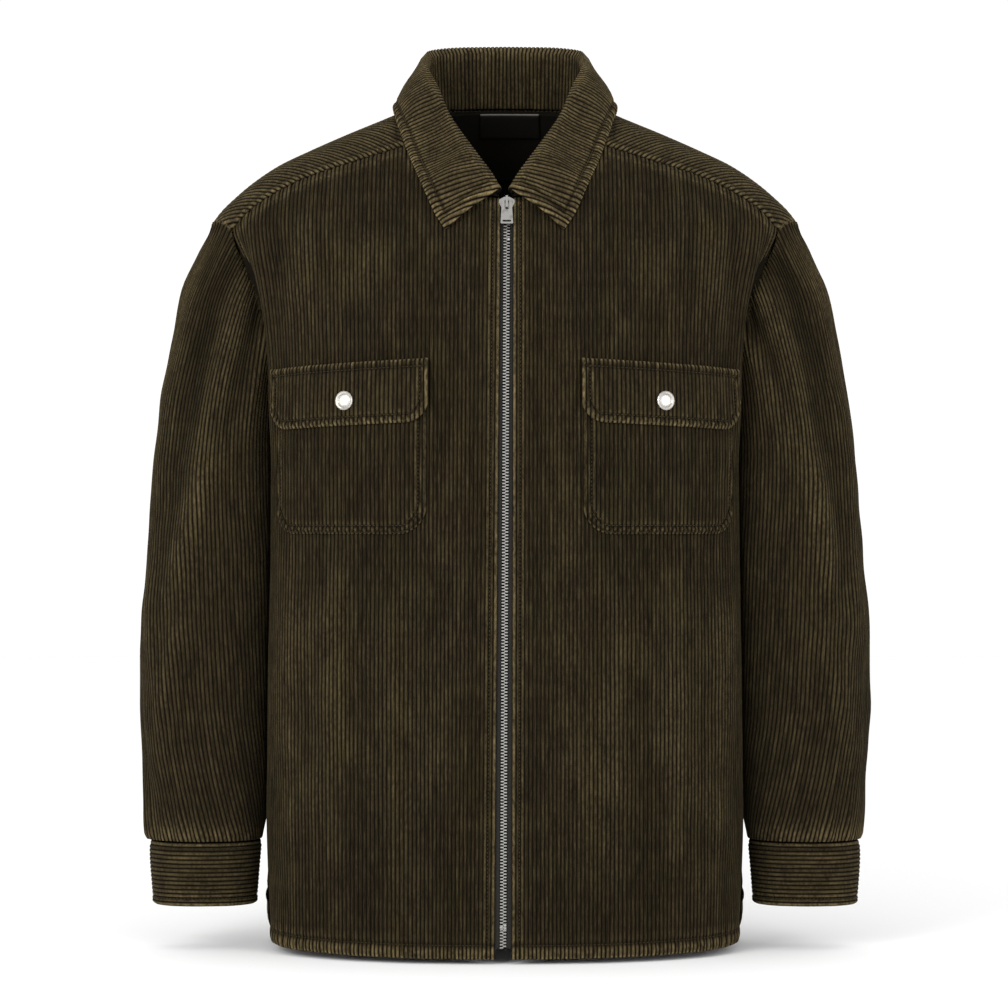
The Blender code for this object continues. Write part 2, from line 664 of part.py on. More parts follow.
def collar_profile(share, side):
    """One slice of the collar: up the stand, over the roll and down the leaf."""
    seam, roll, edge = collar_seam(share), collar_row(COLLAR_ROLL, share), collar_row(COLLAR_EDGE, share)
    if share >= LEAF_LIES:
        edge[1] = -front_depth(edge[0], edge[2]) - LEAF_REST * front_lean(edge[0], edge[2])
    leaf = (edge - roll) / np.linalg.norm(edge - roll)
    stand = (seam - roll) / np.linalg.norm(seam - roll)
    up = -(leaf + stand)
    up /= np.linalg.norm(up)
    out = leaf - stand - np.dot(leaf - stand, up) * up
    out /= np.linalg.norm(out)
    hub = roll - up * ROLL_RADIUS
    points = [seam, (seam + hub - out * ROLL_RADIUS) / 2]
    for turn in np.linspace(math.pi, 0.0, 5):
        points.append(hub + (out * math.cos(turn) + up * math.sin(turn)) * ROLL_RADIUS)
    for step in (0.3, 0.65, 1.0):
        bow = COLLAR_BULGE * 0.8 * math.sin(math.pi * step)
        points.append((hub + out * ROLL_RADIUS) * (1 - step) + edge * step + out * bow)
    return np.array(points) * [side, 1.0, 1.0]


def make_collar(material):
    points = np.array([collar_profile(share, -1.0) for share in COLLAR_SLICES[:0:-1]]
                      + [collar_profile(share, 1.0) for share in COLLAR_SLICES])
    return cloth_piece("collar", [(points.transpose(1, 0, 2), False)], material, COLLAR_CLOTH)


def make_neck_facing(material):
    """Half-moon facing inside the back neck."""
    x = np.linspace(-NECK_X, NECK_X, 13)[2:-2]
    top = NECK_Z + (NECK_BACK_Z - NECK_Z) * (1 - (x / NECK_X) ** 2) - 0.5
    low = FACING_LOW * (1 - (x / FACING_REACH) ** 2) ** 0.5
    z = top[None, :] + (low - top)[None, :] * np.linspace(0.0, 1.0, 5)[:, None]
    points = inner_back(np.broadcast_to(x[None, :], z.shape), z, FACING_IN)
    return cloth_piece("neck_facing", [(points, False)], material, TAPE)


def inner_back(x, z, inward):
    """A point inside the back neck, a given distance in from the yoke's middle."""
    def surface(px, pz):
        width, _, back, power, _ = level_values(pz)
        return back * np.clip(1 - (np.abs(px) / width) ** power, 1e-4, 1.0) ** (1 / power)
    y = surface(x, z)
    slope_x = (surface(x + 1, z) - surface(x - 1, z)) / 2
    slope_z = (surface(x, z + 1) - surface(x, z - 1)) / 2
    normal = np.stack([-slope_x, np.ones_like(y), -slope_z], axis=-1)
    normal /= np.linalg.norm(normal, axis=-1, keepdims=True)
    return np.stack([x, y, z], axis=-1) - normal * inward


def make_neck_label(material):
    """Blank label, sewn along its top edge."""
    x = np.linspace(-24.0, 33.0, 6)
    z = np.broadcast_to(np.linspace(10.5, -11.0, 4)[:, None], (4, 6))
    points = inner_back(np.broadcast_to(x[None, :], z.shape), z, FACING_IN + TAPE + LAY_GAP + 0.4)
    return cloth_piece("neck_label", [(points, False)], material, TAPE)


def rounded_low(runs, inner, outer, low_z, radius, radius_in=None):
    """Low edge of a pocket or flap, with its two rounded corners."""
    low = np.full_like(runs, low_z)
    for edge, size in ((inner, radius_in or radius), (outer, radius)):
        inside = np.clip(size - np.abs(runs - edge), 0.0, size)
        low += size - np.sqrt(size ** 2 - inside ** 2)
    return low


PANEL_RUNS = [POCKET_IN, POCKET_IN + 7, 92.0, 118.0, 144.0, 170.0, 196.0, 211.0, POCKET_OUT]


def make_pocket(name, side, material):
    runs = np.array(PANEL_RUNS)
    top = np.full_like(runs, FLAP_TOP_Z - FLAP_OUTER_DROP - 10.0)
    low = rounded_low(runs, POCKET_IN, POCKET_OUT, POCKET_BOTTOM_Z, POCKET_CORNER)
    share = np.linspace(0.0, 1.0, 8)[:, None]
    z = top[None, :] + (low - top)[None, :] * share
    middle = np.sin(np.pi * (runs - POCKET_IN) / (POCKET_OUT - POCKET_IN))[None, :] ** 0.5
    puff = 2.0 * middle * np.sin(np.pi * np.clip(share, 0.12, 1.0)) ** 0.6
    out = CLOTH + LAY_GAP + 0.4 + puff
    points = body_point("front", np.broadcast_to(runs[None, :], z.shape), z, out)
    points[..., 0] *= side
    return cloth_piece(name, [(points, False)], material, CLOTH, flip=side > 0)


def flap_grid(side):
    runs = np.array(PANEL_RUNS)
    runs[0] -= 2.0
    runs[-1] += 3.0
    top = FLAP_TOP_Z - FLAP_OUTER_DROP * (runs - runs[0]) / (runs[-1] - runs[0])
    low = rounded_low(runs, runs[0], runs[-1], 0.0, FLAP_CORNER + 4.0, FLAP_CORNER) + top - FLAP_DEPTH
    share = np.linspace(0.0, 1.0, 5)[:, None]
    z = top[None, :] + (low - top)[None, :] * share
    lift = 2.4 * share ** 0.5 * np.ones_like(z)
    out = 2 * CLOTH + 2 * LAY_GAP + 0.8 + lift
    points = body_point("front", np.broadcast_to(runs[None, :], z.shape), z, out)
    points[..., 0] *= side
    return points


def make_flap(name, side, material):
    return cloth_piece(name, [(flap_grid(side), False)], material, CLOTH + 0.4, flip=side > 0)


# ---- zip ----------------------------------------------------------------------------
def make_tape(name, side, material):
    z = np.linspace(NECK_FRONT_Z - 1.5, HEM_Z + 9.0, 22)
    inner = CHAIN_WIDTH / 2 + 0.3
    offsets = np.linspace(inner, inner + TAPE_WIDTH, 3)[None, :]
    s = offsets + side * zip_x(z)[:, None]
    points = body_point("front", s, np.broadcast_to(z[:, None], s.shape), TAPE_OUT)
    points[..., 0] = np.abs(points[..., 0]) * side
    return cloth_piece(name, [(points, False)], material, TAPE, flip=side > 0)


def make_chain(material):
    z = np.linspace(CHAIN_TOP_Z, CHAIN_BOTTOM_Z, 22)
    x = zip_x(z)[:, None] + np.array([[-CHAIN_WIDTH / 2, CHAIN_WIDTH / 2]])
    points = body_point("front", x, np.broadcast_to(z[:, None], x.shape), CHAIN_OUT)
    return cloth_piece("zip_chain", [(points, False)], material, CHAIN_DEPTH)


def slider_place():
    """Middle of the chain inside the slider, and how far the front leans back there."""
    point = body_point("front", zip_x(SLIDER_Z), SLIDER_Z, CHAIN_OUT)
    normal = flat_normal("front", np.array(abs(zip_x(SLIDER_Z))), np.array(SLIDER_Z))
    return point, math.atan2(normal[2], -normal[1])


def outline_plate(name, outline, thickness):
    """A flat plate with a given outline in X and Z, cut from one filled curve."""
    curve = bpy.data.curves.new(name, "CURVE")
    curve.dimensions = "2D"
    curve.fill_mode = "BOTH"
    curve.extrude = thickness / 2 * MM
    for loop in outline:
        spline = curve.splines.new("POLY")
        spline.points.add(len(loop) - 1)
        for point, (x, z) in zip(spline.points, loop):
            point.co = (x * MM, z * MM, 0.0, 1.0)
        spline.use_cyclic_u = True
    item = bpy.data.objects.new(name, curve)
    bpy.data.collections["corduroy_jacket"].objects.link(item)
    bpy.context.view_layer.update()
    mesh = bpy.data.meshes.new_from_object(item.evaluated_get(bpy.context.evaluated_depsgraph_get()))
    bpy.data.objects.remove(item)
    shape = bmesh.new()
    shape.from_mesh(mesh)
    bmesh.ops.remove_doubles(shape, verts=shape.verts, dist=0.01 * MM)
    bmesh.ops.rotate(shape, verts=shape.verts, matrix=Matrix.Rotation(math.pi / 2, 3, "X"))
    shape.to_mesh(mesh)
    shape.free()
    return mesh


def placed(item, centre, lean):
    item.location = Vector([float(v) * MM for v in centre])
    item.rotation_euler = (-lean, 0.0, 0.0)


SLIDER_HALF = [(2.2, 7.0), (6.6, 4.4), (6.9, 1.5), (4.8, -3.0), (4.2, -6.5)]
PLATE = 1.2
PLATE_FRONT = 2.6        # from the chain's middle to the back of the front plate
PLATE_REAR = 2.0         # and to the front of the rear plate; the tapes run between
BRIDGE_WIDTH = 2.0
BRIDGE_HIGH = 4.0        # clear height under the bridge


def make_slider(material):
    """Front plate, rear plate, the post between them and the bridge, as one casting."""
    centre, lean = slider_place()
    outline = SLIDER_HALF + [(-x, z) for x, z in SLIDER_HALF[::-1]]
    item = add_object("zip_slider", outline_plate("front_plate", [outline], PLATE), material)
    for vert in item.data.vertices:
        vert.co.y -= (PLATE_FRONT + PLATE / 2) * MM
    face = -(PLATE_FRONT + PLATE)
    leg = BRIDGE_HIGH + 1.0
    boxes = [
        # x   y                        z     size_x       size_y                     size_z
        (0.0, PLATE_REAR + PLATE / 2, -0.4, 10.6, PLATE, 11.0),
        (0.0, (PLATE_REAR - PLATE_FRONT) / 2, 4.6, 2.6, PLATE_FRONT + PLATE_REAR + 0.8, 2.2),
        (0.0, face - leg / 2 + 0.3, 5.0, BRIDGE_WIDTH, leg + 0.6, 1.4),
        (0.0, face - leg / 2 + 0.3, -4.6, BRIDGE_WIDTH, leg + 0.6, 1.4),
        (0.0, face - BRIDGE_HIGH - 0.7, 0.2, BRIDGE_WIDTH, 1.4, 11.0)]
    for number, (x, y, z, size_x, size_y, size_z) in enumerate(boxes):
        bpy.ops.mesh.primitive_cube_add(size=1.0)
        block = bpy.context.object
        block.name = f"slider_block_{number}"
        for vert in block.data.vertices:
            vert.co = Vector(((x + vert.co.x * size_x) * MM, (y + vert.co.y * size_y) * MM,
                              (z + vert.co.z * size_z) * MM))
        join = item.modifiers.new(block.name, "BOOLEAN")
        join.operation = "UNION"
        join.object = block
        block.parent = item
        hide_cutter(block)
    placed(item, centre, lean)
    return item


def hide_cutter(item):
    item.hide_render = True
    item.display_type = "WIRE"
    for collection in list(item.users_collection):
        collection.objects.unlink(item)
    bpy.data.collections["cutters"].objects.link(item)


PULL_LENGTH = 24.0
PULL_THICK = 1.2
PIVOT_Z = 3.2            # pivot above the slider's middle
PIVOT_OUT = 2.0          # and in front of its plate


def rounded_loop(corners, radius, steps=3):
    """An outline with each corner replaced by a short arc."""
    loop = []
    count = len(corners)
    for i, corner in enumerate(corners):
        here = np.array(corner)
        before, after = np.array(corners[i - 1]) - here, np.array(corners[(i + 1) % count]) - here
        before, after = before / np.linalg.norm(before), after / np.linalg.norm(after)
        for step in range(steps + 1):
            t = step / steps
            start, end = here + before * radius, here + after * radius
            loop.append(tuple(start * (1 - t) ** 2 + here * 2 * t * (1 - t) + end * t * t))
    return loop


def make_pull(material):
    """Pull tab: hangs by its eye from the bridge and swings about the eye's top bar."""
    centre, lean = slider_place()
    top, foot = 0.7, 0.7 - PULL_LENGTH
    outer = rounded_loop([(-4.2, top), (4.2, top), (5.5, foot), (-5.5, foot)], 1.0)
    eye = rounded_loop([(-2.0, -0.7), (-2.0, -9.6), (2.0, -9.6), (2.0, -0.7)], 0.5)
    slot = rounded_loop([(-3.9, foot + 3.5), (-3.6, foot + 1.7), (3.6, foot + 1.7), (3.9, foot + 3.5)], 0.5)
    item = add_object("zip_pull", outline_plate("tab", [outer, eye, slot], PULL_THICK), material)
    turn = Matrix.Rotation(-lean, 3, "X")
    arm = turn @ Vector((0.0, -(PLATE_FRONT + PLATE + PIVOT_OUT), PIVOT_Z))
    placed(item, np.array(centre) + np.array(arm), lean)
    return item


# ---- buttons ---------------------------------------------------------------------------
def make_button(name, side, material):
    """Turned metal button with a raised rim and a sunk middle, on the flap."""
    z = BUTTON_Z
    run = run_at_x("front", BUTTON_X, z)
    face_out = 2 * CLOTH + 2 * LAY_GAP + 0.8 + 1.8 + (CLOTH + 0.4) / 2 + 0.4
    point = body_point("front", run, z, face_out)
    normal = flat_normal("front", np.array(run), np.array(z))
    point, normal = point * [side, 1, 1], normal * [side, 1, 1]
    profile = [
        # radius height
        (0.0, 1.5), (4.2, 1.3), (5.4, 0.9), (6.2, 1.9), (7.4, 2.3), (8.3, 1.6), (BUTTON_RADIUS, 0.6),
        (8.0, 0.0), (0.0, 0.0)]
    mesh = bpy.data.meshes.new(name)
    mesh.from_pydata([(r * MM, 0.0, h * MM) for r, h in profile],
                     [(i, i + 1) for i in range(len(profile) - 1)], [])
    item = add_object(name, mesh, material)
    spin = item.modifiers.new("turned", "SCREW")
    spin.steps = spin.render_steps = 16
    spin.use_merge_vertices = True
    spin.merge_threshold = 0.00005
    spin.use_smooth_shade = True
    item.location = Vector([float(v) * MM for v in point])
    item.rotation_euler = Vector([float(v) for v in normal]).to_track_quat("Z", "Y").to_euler()
    return item


def build():
    clear_scene()
    for name in ("corduroy_jacket", "cutters"):
        collection = bpy.data.collections.new(name)
        bpy.context.scene.collection.children.link(collection)
    look = {name: make_material(name) for name in COLOURS}
    cord = look["corduroy"]
    for name, side in SIDES.items():
        make_front(f"front_{name}", side, cord)
        make_sleeve(f"sleeve_{name}", side, cord)
        make_cuff(f"cuff_{name}", side, cord)
        make_pocket(f"pocket_{name}", side, cord)
        make_flap(f"flap_{name}", side, cord)
        make_button(f"button_{name}", side, look["button_metal"])
        make_tape(f"zip_tape_{name}", side, look["tape"])
    make_back(cord)
    make_yoke(cord)
    make_collar(cord)
    make_neck_facing(look["facing"])
    make_neck_label(look["tape"])
    make_chain(look["zip_metal"])
    make_slider(look["zip_metal"])
    make_pull(look["zip_metal"])


build()
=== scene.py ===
"""Corduroy overshirt: how it looks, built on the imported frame.

Every piece of cloth is a sheet with a thickness. Its visible side carries the
corduroy's wales as real ridges; its other side is plain. A place on a sheet is
(u, v): u runs across the wales and v along them. Lengths are millimetres and
become metres when a mesh is made. The garment's form repeats the part's own.

Axes: +X to the right seen from the front, -Y out of the front, +Z up.
"""
import math

import bmesh
import bpy
import numpy as np
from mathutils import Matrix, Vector, geometry


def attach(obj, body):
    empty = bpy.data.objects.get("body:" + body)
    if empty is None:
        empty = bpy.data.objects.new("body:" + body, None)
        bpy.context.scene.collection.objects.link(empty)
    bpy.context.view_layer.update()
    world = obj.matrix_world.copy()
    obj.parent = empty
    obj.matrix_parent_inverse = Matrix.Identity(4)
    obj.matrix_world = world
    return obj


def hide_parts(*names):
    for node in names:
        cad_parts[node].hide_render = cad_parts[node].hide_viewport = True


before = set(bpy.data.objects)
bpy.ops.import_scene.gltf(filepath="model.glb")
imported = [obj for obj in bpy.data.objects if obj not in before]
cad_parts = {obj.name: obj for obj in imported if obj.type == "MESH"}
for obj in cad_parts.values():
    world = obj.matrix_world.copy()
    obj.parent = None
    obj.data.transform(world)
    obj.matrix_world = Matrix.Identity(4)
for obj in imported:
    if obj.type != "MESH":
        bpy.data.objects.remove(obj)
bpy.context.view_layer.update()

MM = 0.001
SIDES = {"left": -1.0, "right": 1.0}      # seen from the front
BODY_NAME = "jacket"

# ---- cloth, mm ---------------------------------------------------------------------
PITCH = 3.8              # from one wale to the next
PHASES = np.array([0.0, 0.18, 0.39, 0.61, 0.82])
PROFILE = np.array([0.0, 0.78, 1.0, 1.0, 0.78])
WALE = 0.95              # height of a wale
SINK = 0.35              # the grooves lie this far inside the wall
CLOTH = 1.6
BAND_CLOTH = CLOTH + 0.4     # cuffs and flaps
COLLAR_CLOTH = 2.4
TAPE = 1.0
ROW = 7.0                # spacing of the points along a wale
CELLS = (14.0, 24.0)     # spacing of the points on the plain side
SLEEVE_CELLS = (5.5, 16.0)
GRID_CLEAR = 4.0         # and their least distance from the edge

# ---- the garment's form, as in the part --------------------------------------------
SEAM_GAP = 0.3
LAY_GAP = 0.6
HEM_Z = -738.0
HEM_SIDE_RISE = 4.0
HEM_CORNER = 30.0
VENT_TOP_Z = -684.0
VENT_OPEN = 5.0
TIP_X = 262.0
TIP_Z = -97.0
UNDERARM_Z = -300.0
ARM_MID_X = 258.0
ARM_MID_Y = 8.0
ARM_SHAPE = 0.75
NECK_X = 86.0
NECK_Z = 8.0
NECK_BACK_Z = 16.0
NECK_FRONT_Z = -80.0
CUFF_TOP_Z = -646.0
CUFF_BOTTOM_Z = -703.0
CUFF_MID = (268.0, -8.0)
ZIP_TOP_X = 1.7
ZIP_BOTTOM_X = -1.7
FRONT_EDGE_TOP = 5.2
FRONT_EDGE_BOTTOM = 7.3
CHAIN_WIDTH = 6.2
CHAIN_OUT = -1.2
TAPE_OUT = -2.3
TAPE_WIDTH = 13.0
TAPE_IN = 0.7             # the tape runs on behind the front edge
CHAIN_TOP_Z = -92.0
CHAIN_BOTTOM_Z = -729.0
POCKET_IN = 67.0
POCKET_OUT = 218.0
POCKET_BOTTOM_Z = -372.0
POCKET_CORNER = 26.0
FLAP_TOP_Z = -221.0
FLAP_OUTER_DROP = 7.0
FLAP_DEPTH = 54.0
FLAP_CORNER = 20.0
BACK_SEAM_Z = -100.0
BACK_SEAM_DROP = 20.0
FRONT_TIP_X = 242.0
BACK_TIP_X = 226.0
SEWN = 0.5 * SEAM_GAP + 0.15     # each sewn edge stops this far short of the seam
BACK_LAP = 0.4                   # how far the back's top edge runs in under the yoke's

BODY = np.array([
    # level  half_width front_depth back_depth squareness hollow
    (-760.0, 216.5, 138.0, 108.0, 2.30, 0.0),
    (-700.0, 218.0, 139.0, 108.0, 2.30, 3.0),
    (-620.0, 219.5, 139.0, 108.0, 2.30, 13.0),
    (-500.0, 221.0, 139.0, 111.0, 2.30, 24.0),
    (-400.0, 220.0, 139.0, 117.0, 2.30, 28.0),
    (-300.0, 219.0, 139.0, 123.0, 2.30, 29.0),
    (-240.0, 219.0, 137.0, 125.0, 2.28, 27.0),
    (-190.0, 223.0, 130.0, 125.0, 2.24, 19.0),
    (-144.0, 235.0, 118.0, 120.0, 2.18, 9.0),
    (-118.0, 250.0, 109.0, 115.0, 2.14, 2.0),
    (-105.0, 259.0, 104.0, 112.5, 2.12, 0.0),
    (-97.0, 262.0, 101.0, 111.0, 2.10, 0.0),
    (-88.0, 257.0, 98.0, 109.0, 2.10, 0.0),
    (-68.0, 237.0, 89.0, 103.5, 2.10, 0.0),
    (-56.0, 222.0, 83.0, 100.0, 2.10, 0.0),
    (-43.0, 202.0, 76.0, 96.0, 2.10, 0.0),
    (-31.0, 177.0, 69.0, 92.0, 2.10, 0.0),
    (-16.0, 143.0, 61.0, 86.5, 2.10, 0.0),
    (3.0, 97.0, 52.0, 79.0, 2.10, 0.0),
    (8.0, 86.0, 50.0, 77.0, 2.10, 0.0),
    (14.0, 73.0, 47.0, 74.0, 2.10, 0.0),
    (30.0, 48.0, 40.0, 66.0, 2.10, 0.0),
    (50.0, 20.0, 30.0, 56.0, 2.10, 0.0)])
HOLLOW_REACH = 42.0
FORWARD_SEAM = np.array([
    # x      z
    (86.0, -29.5), (105.0, -35.0), (130.0, -43.0), (172.0, -56.0),
    (209.0, -74.0), (228.0, -88.0), (242.0, -103.0), (262.0, -124.0)])
FRONT_NECK = np.array([
    # s      z
    (0.0, NECK_FRONT_Z), (22.0, -76.5), (45.0, -68.0), (68.0, -54.0), (84.0, -39.0)])
SLEEVE = np.array([
    # level  outer_x inner_x front_y back_y
    (-703.0, 314.0, 224.0, -46.0, 24.0),
    (-646.0, 318.0, 219.0, -50.0, 30.0),
    (-620.0, 320.5, 214.0, -53.0, 38.0),
    (-576.0, 324.0, 208.5, -56.0, 52.0),
    (-522.0, 327.0, 204.5, -59.0, 62.0),
    (-468.0, 327.0, 201.5, -61.0, 70.0),
    (-396.0, 322.0, 197.0, -66.0, 80.0),
    (-315.0, 315.0, 194.0, -68.0, 86.0),
    (-252.0, 305.0, 192.0, -66.0, 87.0),
    (-200.0, 294.0, 190.0, -62.0, 84.0),
    (-163.0, 285.0, 188.0, -58.0, 80.0),
    (-97.0, 262.0, 180.0, -50.0, 70.0)])
SLEEVE_SQUARENESS = 2.25
SLEEVE_BLEND = 3.2
ARM_LAP = 3.0
ARM_CLEAR = 2.6
LEAN_MOST = 1.6
COLLAR_ROLL = np.array([
    # share  x     y      z
    (0.00, 0.0, 78.0, 74.0), (0.20, 42.0, 71.0, 72.5), (0.40, 71.0, 46.0, 65.0),
    (0.54, 71.5, 12.0, 51.0), (0.66, 62.0, -22.0, 28.0), (0.76, 50.0, -47.0, 1.0),
    (0.86, 31.0, -73.0, -31.0), (0.94, 13.0, -91.0, -57.0), (1.00, 4.5, -100.0, -71.5)])
COLLAR_EDGE = np.array([
    (0.00, 0.0, 87.0, 4.0), (0.20, 54.0, 79.0, 2.5), (0.40, 91.0, 48.0, 2.0),
    (0.54, 99.0, 8.0, 7.4), (0.58, 99.0, -13.0, 6.0), (0.62, 98.0, -30.0, 0.5),
    (0.66, 95.0, -44.0, -9.0), (0.76, 84.0, -60.0, -41.0), (0.86, 72.5, -80.0, -67.0),
    (0.94, 61.0, -98.0, -93.0), (1.00, 51.5, -106.0, -108.0)])
LEAF_LIES = 0.66
LEAF_REST = 2.9
SEAM_PACE = np.array([(0.0, 0.0), (0.54, 0.39), (0.76, 0.66), (1.0, 1.0)])
ROLL_RADIUS = 3.4
LEAF_BULGE = 4.0
FACING_LOW = -46.0
FACING_REACH = 66.0
FACING_IN = 3.8

# Folds and creases: place at the top and bottom, span, width and height
FRONT_FOLDS = [
    # s_top s_low  z_top  z_low  width height
    (229.0, 232.0, -80.0, -360.0, 10.0, 4.0),
    (248.0, 258.0, -100.0, -310.0, 9.0, -3.0)]
SLEEVE_FOLDS = [
    # deg_top deg_low z_top z_low width_deg height
    (24.0, 30.0, -100.0, -430.0, 13.0, 4.0),
    (48.0, 50.0, -110.0, -420.0, 12.0, -5.0),
    (72.0, 68.0, -110.0, -520.0, 14.0, 5.0),
    (-40.0, -36.0, -100.0, -430.0, 15.0, 4.0),
    (-66.0, -60.0, -110.0, -400.0, 13.0, -4.5)]


# ---- small helpers -----------------------------------------------------------------
def smooth(value, places, heights):
    """A smooth curve through a short table, with no overshoot."""
    places, heights = np.asarray(places, float), np.asarray(heights, float)
    gap = np.diff(places)
    slope = np.diff(heights) / gap
    tangent = np.zeros_like(heights)
    tangent[0], tangent[-1] = slope[0], slope[-1]
    same = slope[:-1] * slope[1:] > 0
    mean = 2 * slope[:-1] * slope[1:] / np.where(same, slope[:-1] + slope[1:], 1.0)
    tangent[1:-1] = np.where(same, mean, 0.0)
    value = np.clip(value, places[0], places[-1])
    row = np.clip(np.searchsorted(places, value) - 1, 0, len(gap) - 1)
    t = (value - places[row]) / gap[row]
    lean, next_lean = tangent[row] * gap[row], tangent[row + 1] * gap[row]
    return (heights[row] * (1 + 2 * t) * (1 - t) ** 2 + lean * t * (1 - t) ** 2
            + heights[row + 1] * t * t * (3 - 2 * t) - next_lean * t * t * (1 - t))


def table_values(table, place):
    """The smooth value of each further column of a table at a place in its first."""
    return [smooth(place, table[:, 0], column) for column in table.T[1:]]


def unit(vectors):
    return vectors / np.maximum(np.linalg.norm(vectors, axis=-1, keepdims=True), 1e-9)


def run_along(points):
    """Distance along a line of points, or along each row of a grid of them."""
    steps = np.linalg.norm(np.diff(points, axis=-2), axis=-1)
    return np.concatenate([np.zeros((*steps.shape[:-1], 1)), np.cumsum(steps, axis=-1)], axis=-1)


def along_line(points, shares):
    """Points at shares of a line's length."""
    run = run_along(points)
    return np.stack([np.interp(shares * run[-1], run, column) for column in points.T], axis=-1)


def ease(value, low, high):
    """A smooth step from 0 to 1."""
    t = np.clip((value - low) / (high - low), 0.0, 1.0)
    return t * t * (3 - 2 * t)


def bump(value, middle, width):
    """A smooth hump of height 1."""
    return np.exp(-((value - middle) / width) ** 2)


def fold_height(folds, place, z):
    """Sum of the heights of folds at a place across them and a level."""
    total = np.zeros(np.broadcast(place, z).shape)
    for top, low, z_top, z_low, width, height in folds:
        along = np.clip((z_top - z) / (z_top - z_low), 0.0, 1.0)
        middle = top + (low - top) * along
        swell = ease(along, 0.0, 0.22) * (1 - ease(along, 0.45, 1.0))
        total += height * swell * np.exp(-((place - middle) / width) ** 2)
    return total


def wander(a, b, seed, scale):
    """A smooth, uneven value from about -1 to 1 that depends on a place; the same every run."""
    total = 0.0
    rng = np.random.RandomState(seed)
    for octave in range(4):
        turn, phase_a, phase_b = rng.uniform(0, 2 * math.pi, 3)
        size = scale / (1.0 + 0.83 * octave)
        x = (a * math.cos(turn) + b * math.sin(turn)) / size
        y = (-a * math.sin(turn) + b * math.cos(turn)) / size
        total = total + np.sin(x + phase_a + 1.3 * np.sin(0.7 * y)) * np.cos(y + phase_b) * 0.42
    return total


# ---- the body's smooth surface -----------------------------------------------------
def half_sections(levels, count=361):
    """x and y round each level, from centre front to centre back."""
    width, front, back, power, hollow = [v[:, None] for v in table_values(BODY, levels)]
    angle = np.linspace(0.0, math.pi, count)[None, :]
    x = width * np.sin(angle) ** (2 / power)
    depth = np.where(np.cos(angle) > 0, front, back)
    y = -np.sign(np.cos(angle)) * np.abs(np.cos(angle)) ** (2 / power) * depth
    x = x - hollow * np.exp(-((y - ARM_MID_Y) / HOLLOW_REACH) ** 2) * (x > 60)
    x[:, 0] = x[:, -1] = 0.0
    return x, y


LEVEL_STEP = 2.5
LEVELS = np.arange(-760.0, 50.1, LEVEL_STEP)
STEP = 1.5
REACH = np.arange(0.0, 345.0, STEP)


def measure_body():
    """Tables of (x, y) by distance from centre front, and from centre back."""
    x, y = half_sections(LEVELS)
    run = run_along(np.stack([x, y], axis=-1))
    tables, side = {}, {}
    for name, flip in (("front", False), ("back", True)):
        rows, sides = [], []
        for i in range(len(x)):
            along = run[i, -1] - run[i][::-1] if flip else run[i]
            px, py = (x[i][::-1], y[i][::-1]) if flip else (x[i], y[i])
            rows.append(np.stack([np.interp(REACH, along, px), np.interp(REACH, along, py)], 1))
            order = -py if flip else py
            sides.append(np.interp(-ARM_MID_Y if flip else ARM_MID_Y, order, along))
        tables[name], side[name] = np.array(rows), np.array(sides)
    return tables, side


TABLES, SIDE_RUN = measure_body()


def side_run(half, z):
    return np.interp(z, LEVELS, SIDE_RUN[half])


def blend_cells(table, row, col):
    """Values between the cells of a table, row and col being fractional places in it."""
    row = np.clip(row, 0, table.shape[0] - 1.001)
    col = np.clip(col, 0, table.shape[1] - 1.001)
    i, j = row.astype(int), col.astype(int)
    u, v = (row - i), (col - j)
    if table.ndim > 2:
        u, v = u[..., None], v[..., None]
    return ((table[i, j] * (1 - v) + table[i, j + 1] * v) * (1 - u)
            + (table[i + 1, j] * (1 - v) + table[i + 1, j + 1] * v) * u)


def flat_point(half, s, z):
    """A point of the smooth body at (s, z)."""
    s, z = np.broadcast_arrays(np.asarray(s, float), np.asarray(z, float))
    xy = blend_cells(TABLES[half], (z - LEVELS[0]) / LEVEL_STEP, np.abs(s) / STEP)
    return np.stack([xy[..., 0] * np.where(s < 0, -1.0, 1.0), xy[..., 1], z], axis=-1)


def flat_normal(half, s, z):
    """The outward direction there."""
    across = flat_point(half, s + 4, z) - flat_point(half, s - 4, z)
    up = flat_point(half, s, z + 5) - flat_point(half, s, z - 5)
    return unit(np.cross(across, up)) * (1.0 if half == "front" else -1.0)


def body_point(half, s, z, out=0.0):
    """A point of the body with its folds, moved out by a distance."""
    s, z = np.broadcast_arrays(np.asarray(s, float), np.asarray(z, float))
    folds = fold_height(FRONT_FOLDS, np.abs(s), z) if half == "front" else 0.0
    return flat_point(half, s, z) + flat_normal(half, s, z) * (np.asarray(out) + folds)[..., None]


def run_at_x(half, x, z):
    """s where a level of the body reaches x."""
    row = int(round((z - LEVELS[0]) / LEVEL_STEP))
    widths = TABLES[half][row][:, 0]
    last = int(np.argmax(widths))
    return float(np.interp(x, widths[:last + 1], REACH[:last + 1]))


def run_at_y(half, y, z):
    """s where a level of the body reaches y."""
    row = int(round((z - LEVELS[0]) / LEVEL_STEP))
    depths = TABLES[half][row][:, 1] * (1 if half == "front" else -1)
    return float(np.interp(y if half == "front" else -y, depths, REACH))


def armhole_line(half, seam_run, seam_z):
    """The armhole's (s, z) from the end of the shoulder seam to the underarm."""
    reach = float(flat_point(half, seam_run, seam_z)[1]) - ARM_MID_Y
    points = []
    run = seam_run
    for share in np.linspace(0.0, 1.0, 25)[1:-1]:
        z = seam_z + (UNDERARM_Z - seam_z) * share
        y = ARM_MID_Y + reach * math.cos(math.pi / 2 * share) ** ARM_SHAPE
        run = max(run + 0.05, run_at_y(half, y, z))
        points.append((run, z))
    points.append((float(side_run(half, UNDERARM_Z)), UNDERARM_Z))
    return points


def forward_seam_z(x):
    return table_values(FORWARD_SEAM, np.abs(x))[0]


